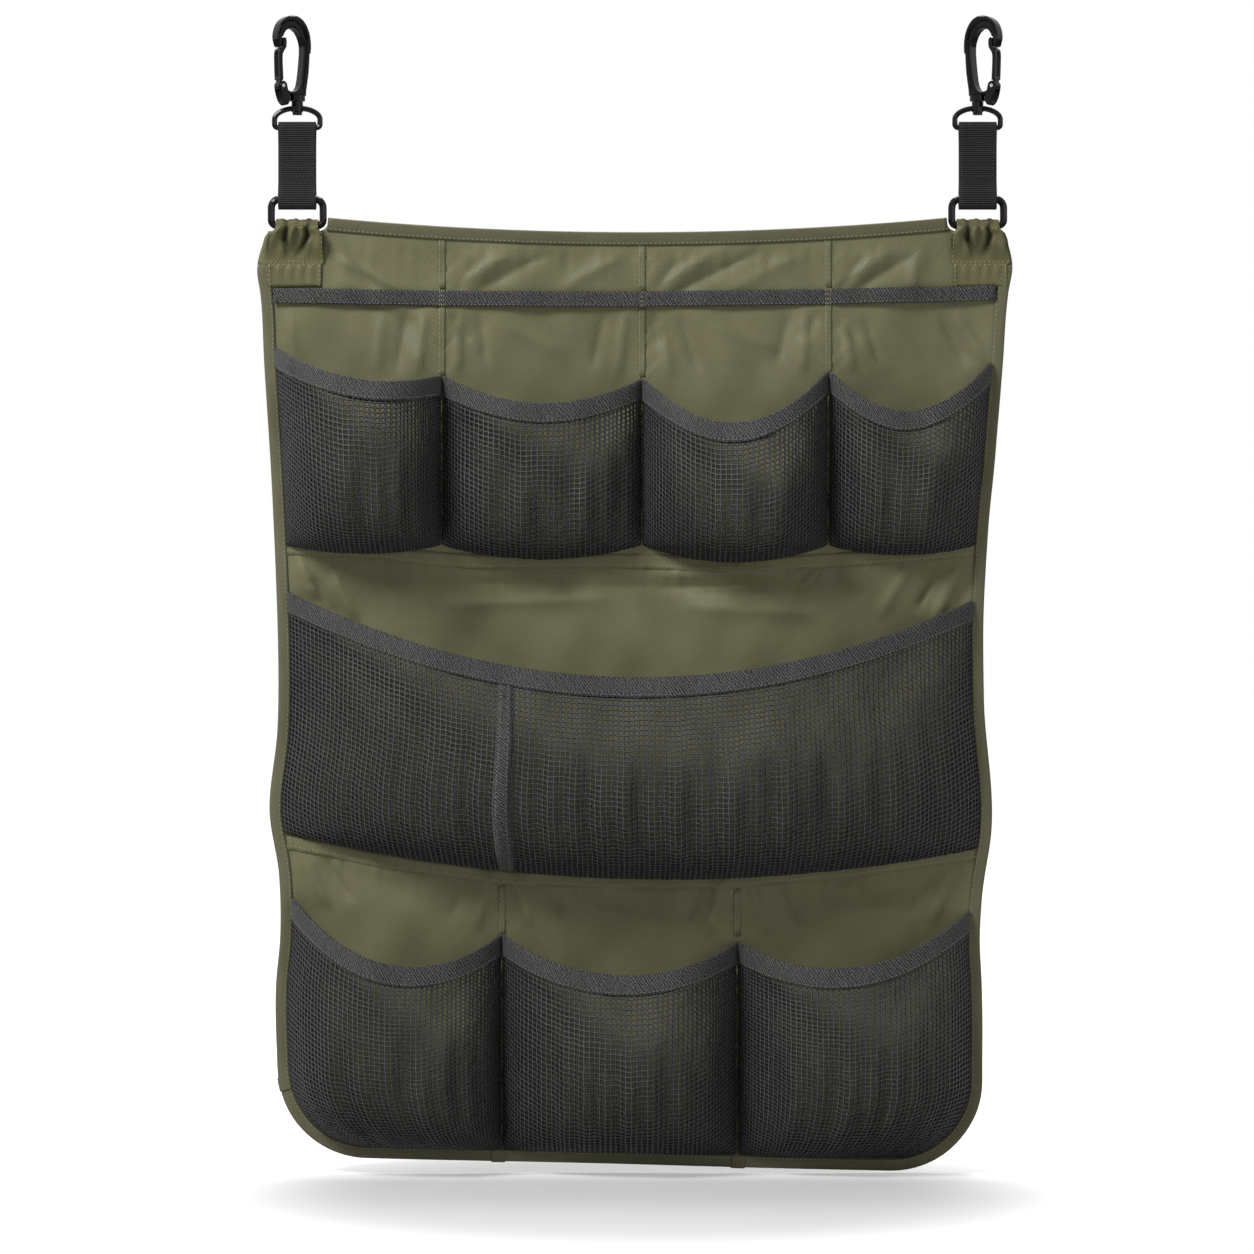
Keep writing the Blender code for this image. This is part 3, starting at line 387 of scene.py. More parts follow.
def new_tree(name, sockets, result):
    tree = bpy.data.node_groups.new(name, "GeometryNodeTree")
    for label, kind in sockets:
        tree.interface.new_socket(label, in_out="INPUT", socket_type="NodeSocket" + kind)
    tree.interface.new_socket(result, in_out="OUTPUT", socket_type="NodeSocketGeometry")
    return tree


def make_stitch_tree():
    """Stitches along seam lines: one plump grain of thread at each pitch, turned to the line."""
    tree = new_tree("stitches_along_seams", (
        ("Seam Lines", "Geometry"), ("Stitch Pitch", "Float"), ("Stitch Length", "Float"),
        ("Thread Radius", "Float"), ("Thread", "Material")), "Stitches")
    given = node(tree, "NodeGroupInput").outputs
    line = node(tree, "GeometryNodeMeshToCurve", {"Mesh": given["Seam Lines"]})
    even = node(tree, "GeometryNodeResampleCurve", {"Curve": line, "Length": given["Stitch Pitch"]},
                mode="LENGTH")
    grain = node(tree, "GeometryNodeMeshIcoSphere", {"Radius": 1.0, "Subdivisions": 1})
    smooth = node(tree, "GeometryNodeSetShadeSmooth", {"Geometry": grain})
    half = node(tree, "ShaderNodeMath", (given["Stitch Length"], 0.5), operation="MULTIPLY")
    size = node(tree, "ShaderNodeCombineXYZ", (half, given["Thread Radius"], given["Thread Radius"]))
    turn = node(tree, "FunctionNodeAlignRotationToVector",
                {"Vector": node(tree, "GeometryNodeInputTangent")}, axis="X")
    laid = node(tree, "GeometryNodeInstanceOnPoints", {"Points": even, "Instance": smooth,
                                                       "Rotation": turn, "Scale": size})
    real = node(tree, "GeometryNodeRealizeInstances", (laid,))
    painted = node(tree, "GeometryNodeSetMaterial", {"Geometry": real, "Material": given["Thread"]})
    node(tree, "NodeGroupOutput", {"Stitches": painted})
    return tree


stitch_tree = make_stitch_tree()


def sew(name, lines, thread, body, slot, pitch=STITCH_PITCH, length=STITCH_LENGTH):
    """Sew along polylines, as one mesh that rides on one body."""
    points, edges = [], []
    for line in lines:
        first = len(points)
        points += [tuple(point) for point in line]
        edges += [(at, at + 1) for at in range(first, len(points) - 1)]
    mesh = bpy.data.meshes.new(name + "_lines")
    mesh.from_pydata(points, edges, [])
    stitches = run_nodes(name, new_object(name + "_lines", mesh), stitch_tree, {
        "Stitch Pitch": pitch, "Stitch Length": length, "Thread Radius": THREAD_RADIUS,
        "Thread": thread})
    return give(stitches, thread, body)


def make_thread(name, shade):
    """Bonded polyester thread: slightly shiny, so that each stitch shows as a small light grain."""
    material, tree = new_material(name)
    twist = noise(tree, node(tree, "ShaderNodeTexCoord").outputs["Object"], THREAD_TWIST, 1.0)
    finish_material(tree, twist, THREAD_TWIST / 10, {
        "Base Color": linear(shade), "Roughness": between(tree, twist, 0.5, 0.65)})
    return material


def make_webbing():
    """Plain-woven nylon webbing: dull black weft ribs with painted shade between them, each a row of warp
    grains.
    """
    material, tree = new_material("woven_nylon_webbing")
    place = node(tree, "ShaderNodeTexCoord").outputs["UV"]
    warp = node(tree, "ShaderNodeTexWave", {"Vector": place, "Scale": BAND / WARP_PITCH,
                                            "Distortion": 0.4}, bands_direction="X").outputs["Fac"]
    groove_shade = node(tree, "ShaderNodeTexWave", {"Vector": place, "Scale": BAND / RIB_PITCH},
                   bands_direction="Y").outputs["Fac"]
    fibre = noise(tree, place, 0.0005)
    grains = node(tree, "ShaderNodeMath", (warp, fibre), operation="ADD")
    # painted shade in the grooves between the ribs, over the fibre's own tone
    shade = node(tree, "ShaderNodeMath", (fibre, 0.4, groove_shade), operation="MULTIPLY_ADD")
    finish_material(tree, grains, WEAVE_BUMP, {
        "Base Color": between(tree, shade, *WEBBING_SHADE_PAINTED_GROOVES),
        "Roughness": between(tree, fibre, 0.62, 0.8),
        "Specular IOR Level": 0.2, "Sheen Weight": 0.04, "Sheen Roughness": 0.4})
    return material


def strap_half_gap(down):
    """Half the space between the two layers, at a distance below the eye's bar."""
    upper = (EYE_WIRE_RADIUS + BAR_GAP) * (1 - rise(down, 0.0, STRAP_SEWN[0]))
    lower = (RING_WIRE_RADIUS + BAR_GAP) * rise(down, STRAP_SEWN[1], STRAP_LENGTH - STRAP_SEWN[1])
    return np.where(down < STRAP_SEWN[0], upper, lower)


def strap_path():
    """The middle of the webbing, once round in the plane of the fold: places (y, z)."""
    downs = np.linspace(0, STRAP_LENGTH, 60)
    around = BAR_GAP + WEBBING / 2 + LAYER_GAP
    front = -(strap_half_gap(downs) + WEBBING / 2 + LAYER_GAP)
    upper, lower = EYE_WIRE_RADIUS + around, RING_WIRE_RADIUS + around
    over = np.linspace(0, math.pi, 14)[1:-1]
    slack = np.linspace(0, STRAP_SLACK, 4)[1:]
    run = [(y, EYE_BAR_Z - d) for y, d in zip(front, downs)]
    run += [(-lower, RING_TOP_Z - s) for s in slack]
    run += [(-lower * math.cos(a), RING_TOP_Z - STRAP_SLACK - lower * math.sin(a)) for a in over]
    run += [(lower, RING_TOP_Z - s) for s in slack[::-1]]
    run += [(-y, EYE_BAR_Z - d) for y, d in zip(front[::-1], downs[::-1])]
    run += [(upper * math.cos(a), EYE_BAR_Z + upper * math.sin(a)) for a in over]
    return np.array(run)


def even_steps(run, step):
    """A closed run of places, laid out again at even steps."""
    closed = np.vstack([run, run[:1]])
    along_run = arc(closed)
    count = int(round(along_run[-1] / step))
    stations = np.arange(count) * along_run[-1] / count
    return np.stack([np.interp(stations, along_run, closed[:, axis]) for axis in (0, 1)], -1), stations


def webbing_section(half_width):
    """Outline of the webbing's cross section, as (across, up): flat faces and rounded selvedges."""
    edge, thick = half_width - WEBBING_EDGE, WEBBING / 2
    round_edge = [(edge + WEBBING_EDGE * math.sin(a), thick - WEBBING_EDGE * (1 - math.cos(a)))
                  for a in np.linspace(0, math.pi / 2, 4)]
    half = round_edge + [(across, -up) for across, up in round_edge[::-1]]
    flat = np.linspace(-1, 1, 9)[1:-1] * edge
    return (half + [(-across, -thick) for across in flat] + [(-across, -up) for across, up in half]
            + [(across, thick) for across in flat])


def make_strap(side, x, webbing, thread):
    low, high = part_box(side + "_strap")
    half_width = (high.x - low.x) / 2
    run, stations = even_steps(strap_path(), RIB_PITCH / 6)
    ahead = np.roll(run, -1, axis=0) - np.roll(run, 1, axis=0)
    ahead /= np.linalg.norm(ahead, axis=1)[:, None]
    out = np.stack([ahead[:, 1], -ahead[:, 0]], -1)
    section = webbing_section(half_width)
    ribs = RIB_HEIGHT * (np.cos(2 * math.pi * stations / RIB_PITCH) - 1) / 2
    points = np.empty((len(run), len(section), 3))
    uv = np.empty((len(run), len(section), 2))
    for at, (across, up) in enumerate(section):
        lift = up + ribs * np.sign(up) * (abs(across) < half_width - WEBBING_EDGE)
        points[:, at, 0] = x + across
        points[:, at, 1:] = run + out * lift[:, None]
        uv[:, at] = np.stack([np.full(len(run), across), stations], -1)
    name = side + "_webbing_strap"
    strap = new_object(name, grid_mesh(name, points, uv, (True, True)))
    bm = bmesh.new()
    bm.from_mesh(strap.data)
    bmesh.ops.recalc_face_normals(bm, faces=bm.faces)
    bm.to_mesh(strap.data)
    bm.free()
    give(strap, webbing, side + "_strap", [side + "_strap"])
    top, bottom = [EYE_BAR_Z - sewn - inset for sewn, inset in zip(STRAP_SEWN, BOX_SEAM_INSET)]
    left, right = x - BOX_SEAM_HALF_WIDTH, x + BOX_SEAM_HALF_WIDTH
    lines = []
    for y in (-(WEBBING + 2 * LAYER_GAP), WEBBING + 2 * LAYER_GAP):
        corners = [(left, y, top), (right, y, top), (right, y, bottom), (left, y, bottom)]
        lines.append(corners + corners[:1])
        for level in BOX_SEAM_BARS:
            z = top + (bottom - top) * level
            lines.append([(left, y, z), (right, y, z)])
    sew(side + "_strap_box_seam", lines, thread, side + "_strap", "black_webbing", *BOX_STITCH)


webbing = make_webbing()
black_thread = make_thread("black_bonded_thread", BLACK_THREAD)
for side, way in zip(SIDES, (-1, 1)):
    make_strap(side, way * HANGER_X, webbing, black_thread)


# Back panel
# One sheet of olive coated nylon, cut with a notch under each ring, hanging from two gathered tabs.
# Its sides are drawn in by the pockets' load, and soft folds run from the tabs and the seams.

PANEL_WIDTH = 0.498
PANEL_CLOTH = 0.0012
PANEL_CORNER_RADIUS = 0.060
PANEL_DROPS = (0.6155, 0.6240)    # lower edge below the ring's bar, left and right
PANEL_TOP_RISE = 0.0031
PANEL_TOP_SAG = 0.0095
PANEL_NOTCH_DROP = 0.0038
RING_CORNER_RADIUS = 0.0060   # outside its wire
NOTCH_GAP = 0.0013
NOTCH_CLEARANCE = 0.0014
NOTCH_REACH = 0.030          # down from the notch, where the columns beside it draw together
NOTCH_HALF_WIDTH = (ring_high.x - ring_low.x) / 2 + NOTCH_CLEARANCE
NOTCH_INNER_X = HANGER_X - NOTCH_HALF_WIDTH
TAB_BAR_Z = ring_low.z + RING_WIRE_RADIUS    # drops are measured down from here
SIDE_TOP_DROP = 0.0080
BINDING_START_DROP = 0.0264
TAB_DROP = 0.0246
TAPE = 0.0008                # thickness of grosgrain
BINDING_GAP = 0.0006
EDGE_INSET = TAPE + 2 * BINDING_GAP    # the panel's raw edge lies this far inside its binding
# The sides as the load draws them in: (drop, distance in)
LEFT_SIDE = (
    (0.0059, 0.0035), (0.0299, -0.0021), (0.0439, -0.0002), (0.0930, 0.0025), (0.1470, 0.0061),
    (0.2170, 0.0096), (0.2750, 0.0117), (0.3310, 0.0114), (0.3880, 0.0061), (0.4290, 0.0123),
    (0.4700, 0.0130), (0.4990, 0.0104), (0.5690, 0.0114),
)
RIGHT_SIDE = (
    (0.0059, 0.0060), (0.0279, 0.0015), (0.0439, 0.0041), (0.0930, 0.0078), (0.1470, 0.0121),
    (0.2080, 0.0177), (0.2600, 0.0203), (0.3140, 0.0200), (0.3980, 0.0150), (0.4460, 0.0216),
    (0.4700, 0.0228), (0.4990, 0.0216), (0.5780, 0.0210),
)
# The panel's grid: shares of the straight side, from and to, with their rows, and its columns
ROW_BANDS = (
    (0.0, 0.195, 52), (0.195, 0.365, 20), (0.365, 0.54, 46), (0.54, 0.71, 20), (0.71, 0.90, 50),
    (0.90, 1.0, 12),
)
CORNER_ROWS = 24
BINDING_STEP = 0.0004        # half the height of the step where the binding starts
OUTER_COLUMNS, NOTCH_COLUMNS, MIDDLE_COLUMNS = 13, 9, 166
NOTCH_SIDE = 0.0100          # width of the finer columns outside a notch
NOTCH_STEP = 0.0021          # and of the one column inside it
NYLON_SHADE = ("#5F5E42", "#7C7A5C")
NYLON_ROUGHNESS, NYLON_SHEEN = 0.46, 0.05
# painted shade at the bottom of a deep pleat
PAINTED_PLEAT_SHADE = "#1E1D14"
NYLON_WEAVE = 0.0017         # real twill lines lie 0.4 mm apart and would not show
CLOUDY_TONE = (0.35, 0.135)   # how much the cloudy noise changes the shade, and its level
DYE_THREADS = 0.19           # how much the threads change it
# Long upright folds: depth, length and shift, and the (start, length) of the drops where they
# come and partly go again
PANEL_FOLD = (0.0040, 0.250, 0.030)
FOLDS_COME = (TAB_DROP + 0.004, 0.060)
FOLDS_GO = (0.150, 0.300)
FOLDS_LOST = 0.6
# Where the sheet is held flat: across from a tab's middle, below a tab, at the top and the bottom
TAB_HOLD = (0.022, 0.012)
TAB_HOLD_DROP = (TAB_DROP, 0.030)
TOP_HOLD = (0.006, 0.020)
BOTTOM_HOLD = (PANEL_DROPS[0] - 0.020, 0.020)
# Soft folds in millimetres: start (x, drop), end (x, drop), half width, height to the front
SOFT_FOLDS = (
    (-200, 20, -148, 46, 7, 3.4), (-194, 12, -172, 42, 5, -2.6), (-196, 36, -140, 62, 8, 2.2),
    (-122, 42, -78, 14, 8, 3.6), (-108, 44, -58, 18, 6, -3), (-50, 42, -10, 20, 7, 2.6),
    (12, 42, 60, 12, 8, 3.6), (22, 46, 82, 16, 6, -3.4), (58, 44, 110, 18, 9, 2.4),
    (132, 40, 170, 14, 8, 3.6), (142, 44, 184, 18, 6, -3.2), (186, 14, 180, 44, 6, 2.6),
    (-140, 58, -145, 98, 4, 3.2), (-152, 56, -158, 96, 5, -3.2), (-168, 58, -172, 100, 6, 2),
    (-116, 56, -120, 100, 5, 3.2), (-104, 58, -100, 92, 5, -2.6), (-8, 58, -13, 100, 4, 3),
    (-22, 58, -30, 94, 5, -2.6), (14, 58, 22, 100, 5, 3.2), (28, 60, 40, 96, 5, -3),
    (112, 58, 108, 98, 5, 3.2), (100, 58, 92, 92, 6, -2.4), (136, 58, 141, 96, 5, 3.4),
    (150, 60, 160, 92, 5, -2.6), (210, 56, 230, 90, 5, 3.4), (200, 60, 218, 92, 5, -2.6),
    (-230, 56, -224, 104, 4, 2.6), (50, 66, 94, 82, 8, 2), (-92, 64, -46, 86, 9, 1.8),
    (-222, 222, -212, 246, 5, 4), (-214, 232, -198, 262, 6, -3.6), (-200, 230, -186, 262, 6, 3),
    (-150, 236, 20, 238, 7, -2.8), (-130, 250, -20, 246, 8, 2.6), (10, 230, 104, 229, 4.5, 3.4),
    (14, 239, 98, 239, 6, -3.6), (30, 252, 120, 256, 10, 2.6), (122, 226, 106, 242, 4, 4.2),
    (128, 232, 148, 246, 7, -3.4), (178, 226, 160, 258, 6, 3), (212, 224, 196, 262, 5, 4.2),
    (203, 224, 184, 254, 5, -3.2), (222, 230, 212, 252, 4, -2.6), (-98, 424, -106, 464, 5, 3.4),
    (-110, 426, -124, 458, 6, -2.8), (-83, 426, -70, 462, 5, 3.6), (-70, 428, -50, 460, 6, -2.8),
    (57, 430, 46, 468, 5, 3.4), (44, 432, 30, 464, 6, -2.4), (73, 430, 86, 468, 5, 3.6),
    (88, 430, 106, 464, 6, -2.8), (-220, 416, -204, 450, 5, 3.6), (-208, 416, -188, 446, 6, -3),
    (-196, 418, -150, 432, 8, 2.4), (208, 424, 194, 460, 5, 3.6), (196, 426, 178, 456, 6, -2.8),
    (-40, 438, 30, 444, 8, 2.4), (-30, 452, 24, 458, 7, -2.2), (110, 440, 180, 436, 8, 2.4),
    (120, 452, 172, 449, 7, -2.2), (-121, 45, -104, 22, 6, -3.6), (11, 45, 28, 22, 6, -3.6),
    (133, 43, 150, 20, 6, -3.6), (-122, 58, -112, 78, 6, -3.4), (10, 58, 16, 80, 6, -3.2),
    (132, 58, 146, 78, 6, -3.4), (118, 58, 110, 76, 6, -3),
)
FOLD_STRENGTH = 0.92
FOLD_NARROW = 0.62
FOLD_FADE = (0.45, 0.8)      # towards both ends, as shares of half its length
FOLD_PEAK = 1.3              # power of the fold's section: sharper than a bell, softer than a roof
RIPPLE_LENGTHS = (0.11, 0.085, 0.06, 0.047, 0.036, 0.028, 0.021)
RIPPLE_SLOPE = 0.009
RIPPLE_TURN = 0.9            # radians
RIPPLE_SEED = 7
UPPER_SEAMS = (-0.1290, 0.0030, 0.1257)
LOWER_SEAMS = (-0.0894, 0.0657)
PUCKER_REACH = 0.009         # how far the small puckers run out from a seam
PUCKER_HEIGHT = 0.00055
PUCKER_PITCHES = (0.0125, 0.0083)
HEM_PUCKER_PITCHES = (0.0135, 0.0089)
PUCKER_SLANT = 0.9
UPRIGHT_PUCKERS = 0.6        # of the full height
UPRIGHT_DROPS = ((0.012, 0.095), (0.425, 0.465))    # where they come and go, at both rows of seams
UPRIGHT_FADE = 0.010
PUCKER_START = 0.003         # how soon they reach their height below a seam
HEM_SEAM_DROP = 0.0095
HEM_PUCKER_END = (NOTCH_INNER_X - 0.016, 0.012)
# Stitches below each row of pockets, as (x, drop)
UPPER_ROW_SEAM = (
    (-0.2274, 0.2148), (-0.1772, 0.2175), (-0.1449, 0.2214), (-0.1040, 0.2244), (-0.0472, 0.2237),
    (0.0017, 0.2241), (0.0439, 0.2254), (0.0927, 0.2254), (0.1251, 0.2237), (0.1581, 0.2214),
    (0.1997, 0.2181), (0.2228, 0.2155),
)
WIDE_ROW_SEAM = (
    (-0.2300, 0.4095), (-0.1950, 0.4158), (-0.1653, 0.4218), (-0.1292, 0.4273), (-0.0868, 0.4328),
    (-0.0473, 0.4342), (0.0000, 0.4352), (0.0500, 0.4352), (0.1000, 0.4318), (0.1500, 0.4268),
    (0.1900, 0.4212), (0.2250, 0.4165),
)


def along(points, where):
    """A smooth value through given (position, value) points."""
    places, values = np.array(points).T
    slopes = np.gradient(values, places)
    where = np.clip(where, places[0], places[-1])
    index = np.minimum(np.searchsorted(places, where, side="right") - 1, len(places) - 2)
    width = places[index + 1] - places[index]
    t = (where - places[index]) / width
    return ((2 * t ** 3 - 3 * t ** 2 + 1) * values[index] + (t ** 3 - 2 * t ** 2 + t) * width * slopes[index]
            + (3 * t ** 2 - 2 * t ** 3) * values[index + 1] + (t ** 3 - t ** 2) * width * slopes[index + 1])


def soft_folds(x, drop):
    """How far the cloth stands forward in its listed folds."""
    forward = np.zeros(np.broadcast(x, drop).shape)
    for fold in SOFT_FOLDS:
        x0, drop0, x1, drop1, width, tall = [value / 1000 for value in fold]
        reach, fall = x1 - x0, drop1 - drop0
        share = ((x - x0) * reach + (drop - drop0) * fall) / (reach ** 2 + fall ** 2)
        nearest = np.clip(share, 0, 1)
        off = np.hypot(x - x0 - reach * nearest, drop - drop0 - fall * nearest)
        strength = FOLD_STRENGTH * tall * (1 - rise(np.abs(2 * share - 1), *FOLD_FADE))
        forward += strength * np.exp(-(off / (FOLD_NARROW * width)) ** FOLD_PEAK)
    return forward


def pucker_waves(run, drift, pitches=PUCKER_PITCHES):
    """Two waves along a seam, whose crests seldom fall together."""
    wide, close = [2 * math.pi * run / pitch for pitch in pitches]
    return np.sin(wide + drift) + np.sin(close)


def seam_puckers(x, drop):
    """Small puckers that run out from each line of stitches, aslant beside the upright ones."""
    total = np.zeros(np.broadcast(x, drop).shape)
    for seams, (start, end) in zip((UPPER_SEAMS, LOWER_SEAMS), UPRIGHT_DROPS):
        here = UPRIGHT_PUCKERS * rise(drop, start, UPRIGHT_FADE) * (1 - rise(drop, end, UPRIGHT_FADE))
        for seam in seams:
            off = np.abs(x - seam)
            total += here * np.exp(-off / PUCKER_REACH) * pucker_waves(drop + PUCKER_SLANT * off, 40 * x)
    for line in (UPPER_ROW_SEAM, WIDE_ROW_SEAM):
        off = drop - along(line, x)
        total += np.exp(-np.abs(off) / PUCKER_REACH) * rise(off, 0, PUCKER_START) * pucker_waves(x, 30 * drop)
    off = drop - top_drop(x) - HEM_SEAM_DROP
    near = np.exp(-np.abs(off) / PUCKER_REACH) * rise(off, 0, PUCKER_START)
    near = near * (1 - rise(np.abs(x), *HEM_PUCKER_END))
    total += near * pucker_waves(x, 50 * drop, HEM_PUCKER_PITCHES)
    return total * PUCKER_HEIGHT


def slack_ripple(x, drop):
    """A low uneven ripple over the whole sheet, from long waves in seeded directions."""
    chance = np.random.default_rng(RIPPLE_SEED)
    total = np.zeros(np.broadcast(x, drop).shape)
    for length in RIPPLE_LENGTHS:
        angle = chance.uniform(-RIPPLE_TURN, RIPPLE_TURN)
        phase = chance.uniform(0, 2 * math.pi)
        run = x * math.cos(angle) + drop * math.sin(angle)
        total += length * RIPPLE_SLOPE * np.sin(2 * math.pi * run / length + phase)
    return total


def cloth_y(x, drop):
    """Middle of the panel's cloth: long upright folds, soft folds and a low ripple."""
    depth, length, shift = PANEL_FOLD
    growth = rise(drop, *FOLDS_COME) * (1 - FOLDS_LOST * rise(drop, *FOLDS_GO))
    long_folds = depth * growth * np.cos(2 * math.pi * (x + shift) / length)
    near_tab = 1 - rise(np.abs(np.abs(x) - HANGER_X), *TAB_HOLD)
    free = rise(drop, *TOP_HOLD) * (1 - near_tab * (1 - rise(drop, *TAB_HOLD_DROP)))
    free = free * (1 - rise(drop, *BOTTOM_HOLD))
    return long_folds - free * (soft_folds(x, drop) + slack_ripple(x, drop) + seam_puckers(x, drop))


def height(drop):
    return TAB_BAR_Z - drop


def low_edge(share):
    """Lower edge of the panel, from its left side (0) to its right side (1)."""
    return PANEL_DROPS[0] + (PANEL_DROPS[1] - PANEL_DROPS[0]) * share


def side_x(way, drop, inset=0.0):
    """Left (-1) or right (+1) side of the panel at a drop, moved in by inset."""
    drawn_in = along(LEFT_SIDE if way < 0 else RIGHT_SIDE, drop)
    above = np.maximum(low_edge(0 if way < 0 else 1) - drop - inset, 0.0)
    radius = PANEL_CORNER_RADIUS - inset
    reach = np.maximum(radius - above, 0.0)
    corner = radius - np.sqrt(np.maximum(radius ** 2 - reach ** 2, 0.0))
    return way * (PANEL_WIDTH / 2 - drawn_in - inset - corner)


def top_curve(x):
    """The slack curve of the upper edge between the tabs."""
    return PANEL_TOP_SAG * (1 - (x / NOTCH_INNER_X) ** 2) - PANEL_TOP_RISE


def top_drop(x):
    """Upper edge of the panel: a slack curve between the tabs, and close round each ring's corner."""
    off = HANGER_X - np.abs(x)
    reach = RING_CORNER_RADIUS + NOTCH_GAP
    inward = np.clip(off - (NOTCH_HALF_WIDTH - NOTCH_CLEARANCE - RING_CORNER_RADIUS), 0.0, reach)
    notch = PANEL_NOTCH_DROP - (reach - np.sqrt(reach ** 2 - inward ** 2))
    return np.where(off < NOTCH_HALF_WIDTH + 0.0001, np.maximum(notch, top_curve(x)), top_curve(x))


def panel_rows(way, inset):
    """Drops of the panel's rows at one side, closer together where cloth shows and at the corner."""
    centre = low_edge(0 if way < 0 else 1) - PANEL_CORNER_RADIUS
    angles = np.linspace(0, math.pi / 2, CORNER_ROWS + 1)[1:]
    corner = centre + (PANEL_CORNER_RADIUS - inset) * np.sin(angles)
    shares = np.concatenate([np.linspace(*band, endpoint=False) for band in ROW_BANDS] + [[1.0]])
    step_in = (BINDING_START_DROP - BINDING_STEP, BINDING_START_DROP + BINDING_STEP)
    return np.sort(np.concatenate([SIDE_TOP_DROP + (centre - SIDE_TOP_DROP) * shares, step_in, corner]))


def on_cloth(x, drop, out=0.0):
    """Places at a distance behind the middle of the panel's cloth, or in front where it is negative."""
    return np.stack([x, cloth_y(x, drop) + out, height(drop)], -1)


def panel_points(inset):
    outer = np.concatenate([
        np.linspace(-PANEL_WIDTH / 2, -NOTCH_INNER_X - NOTCH_SIDE, OUTER_COLUMNS)[:-1],
        np.linspace(-NOTCH_INNER_X - NOTCH_SIDE, -NOTCH_INNER_X, NOTCH_COLUMNS)])
    middle = np.linspace(-NOTCH_INNER_X + NOTCH_STEP, NOTCH_INNER_X - NOTCH_STEP, MIDDLE_COLUMNS)
    shares = (np.concatenate([outer, middle, -outer[::-1]]) + PANEL_WIDTH / 2) / PANEL_WIDTH
    left_rows, right_rows = [panel_rows(way, inset)[:, None] for way in (-1, 1)]
    fraction = np.linspace(0, 1, len(left_rows))[:, None]
    nominal = (shares - 0.5)[None, :] * PANEL_WIDTH
    drop = left_rows + (right_rows - left_rows) * shares
    climb = np.where(np.abs(nominal) < PANEL_WIDTH / 2 - 0.001, top_drop(nominal) - SIDE_TOP_DROP, 0.0)
    drop = drop + climb * (1 - fraction) ** 6
    left, right = [side_x(way, rows, inset * (rows > BINDING_START_DROP))
                   for way, rows in ((-1, left_rows), (1, right_rows))]
    spread = left + (right - left) * shares
    outside = np.clip((np.abs(nominal) - NOTCH_INNER_X) / (PANEL_WIDTH / 2 - NOTCH_INNER_X), 0.0, 1.0)
    side = np.where(nominal < 0, left, right)
    held = np.where(outside > 0, np.sign(nominal) * NOTCH_INNER_X * (1 - outside) + side * outside, nominal)
    x = spread + (held - spread) * (1 - rise(drop, PANEL_NOTCH_DROP, NOTCH_REACH))
    return on_cloth(x, drop), np.stack([x, -drop], -1)


def cloth_piece(name, rows, uv, thickness, material, slot, replaced=(), flip=False):
    """A piece of cloth of even thickness through rows of places, which rides on the panel."""
    piece = thicken(new_object(name, grid_mesh(name, rows, uv, flip=flip)), thickness)
    return give(piece, material, "panel", replaced)


def make_cloth(name, shades, weave, roughness=NYLON_ROUGHNESS, sheen=NYLON_SHEEN, painted_shade_attribute=None):
    """Twill-woven nylon, coated behind: satin folds, fine slanting lines and cloudy changes of shade.

    Where the attribute named by painted_shade_attribute is 1, painted shade makes the cloth as dark as the
    bottom of a deep pleat.
    """
    material, tree = new_material(name)
    place = node(tree, "ShaderNodeTexCoord").outputs["UV"]
    slanted = node(tree, "ShaderNodeMapping", {0: place, "Rotation": (0, 0, math.radians(38))})
    twill = node(tree, "ShaderNodeTexWave", {"Vector": slanted, "Scale": BAND / weave,
                                             "Distortion": 0.5}, bands_direction="X").outputs["Fac"]
    threads = node(tree, "ShaderNodeMath", (twill, noise(tree, place, 0.0014)), operation="ADD")
    crinkle = noise(tree, place, 0.007, 3.0)
    relief = node(tree, "ShaderNodeMath", (crinkle, 3.0, threads), operation="MULTIPLY_ADD")
    cloudy = noise(tree, place, 0.040, 4.0)
    clouds = node(tree, "ShaderNodeMath", (cloudy, *CLOUDY_TONE), operation="MULTIPLY_ADD")
    tone = node(tree, "ShaderNodeMath", (threads, DYE_THREADS, clouds), operation="MULTIPLY_ADD")
    colour = between(tree, tone, *shades)
    # painted shade in deep pleats, where an attribute asks for it
    if painted_shade_attribute:
        deep = node(tree, "ShaderNodeAttribute", attribute_name=painted_shade_attribute).outputs["Fac"]
        colour = node(tree, "ShaderNodeMixRGB", (deep, colour, linear(PAINTED_PLEAT_SHADE)))
    finish_material(tree, relief, WEAVE_BUMP, {
        "Base Color": colour, "Roughness": between(tree, cloudy, roughness, roughness + 0.08),
        "Specular IOR Level": 0.22, "Sheen Weight": sheen, "Sheen Roughness": 0.35})
    return material


nylon = make_cloth("woven_coated_nylon", NYLON_SHADE, NYLON_WEAVE)
panel = cloth_piece("nylon_panel", *panel_points(EDGE_INSET), PANEL_CLOTH, nylon, "olive_nylon",
                    ["back_panel"])


# Hem and edge binding
# Tape folded over the panel's raw edge, all round from tab to tab, and a turned hem along the top,
# each sewn through with one row of stitches near its inner edge.

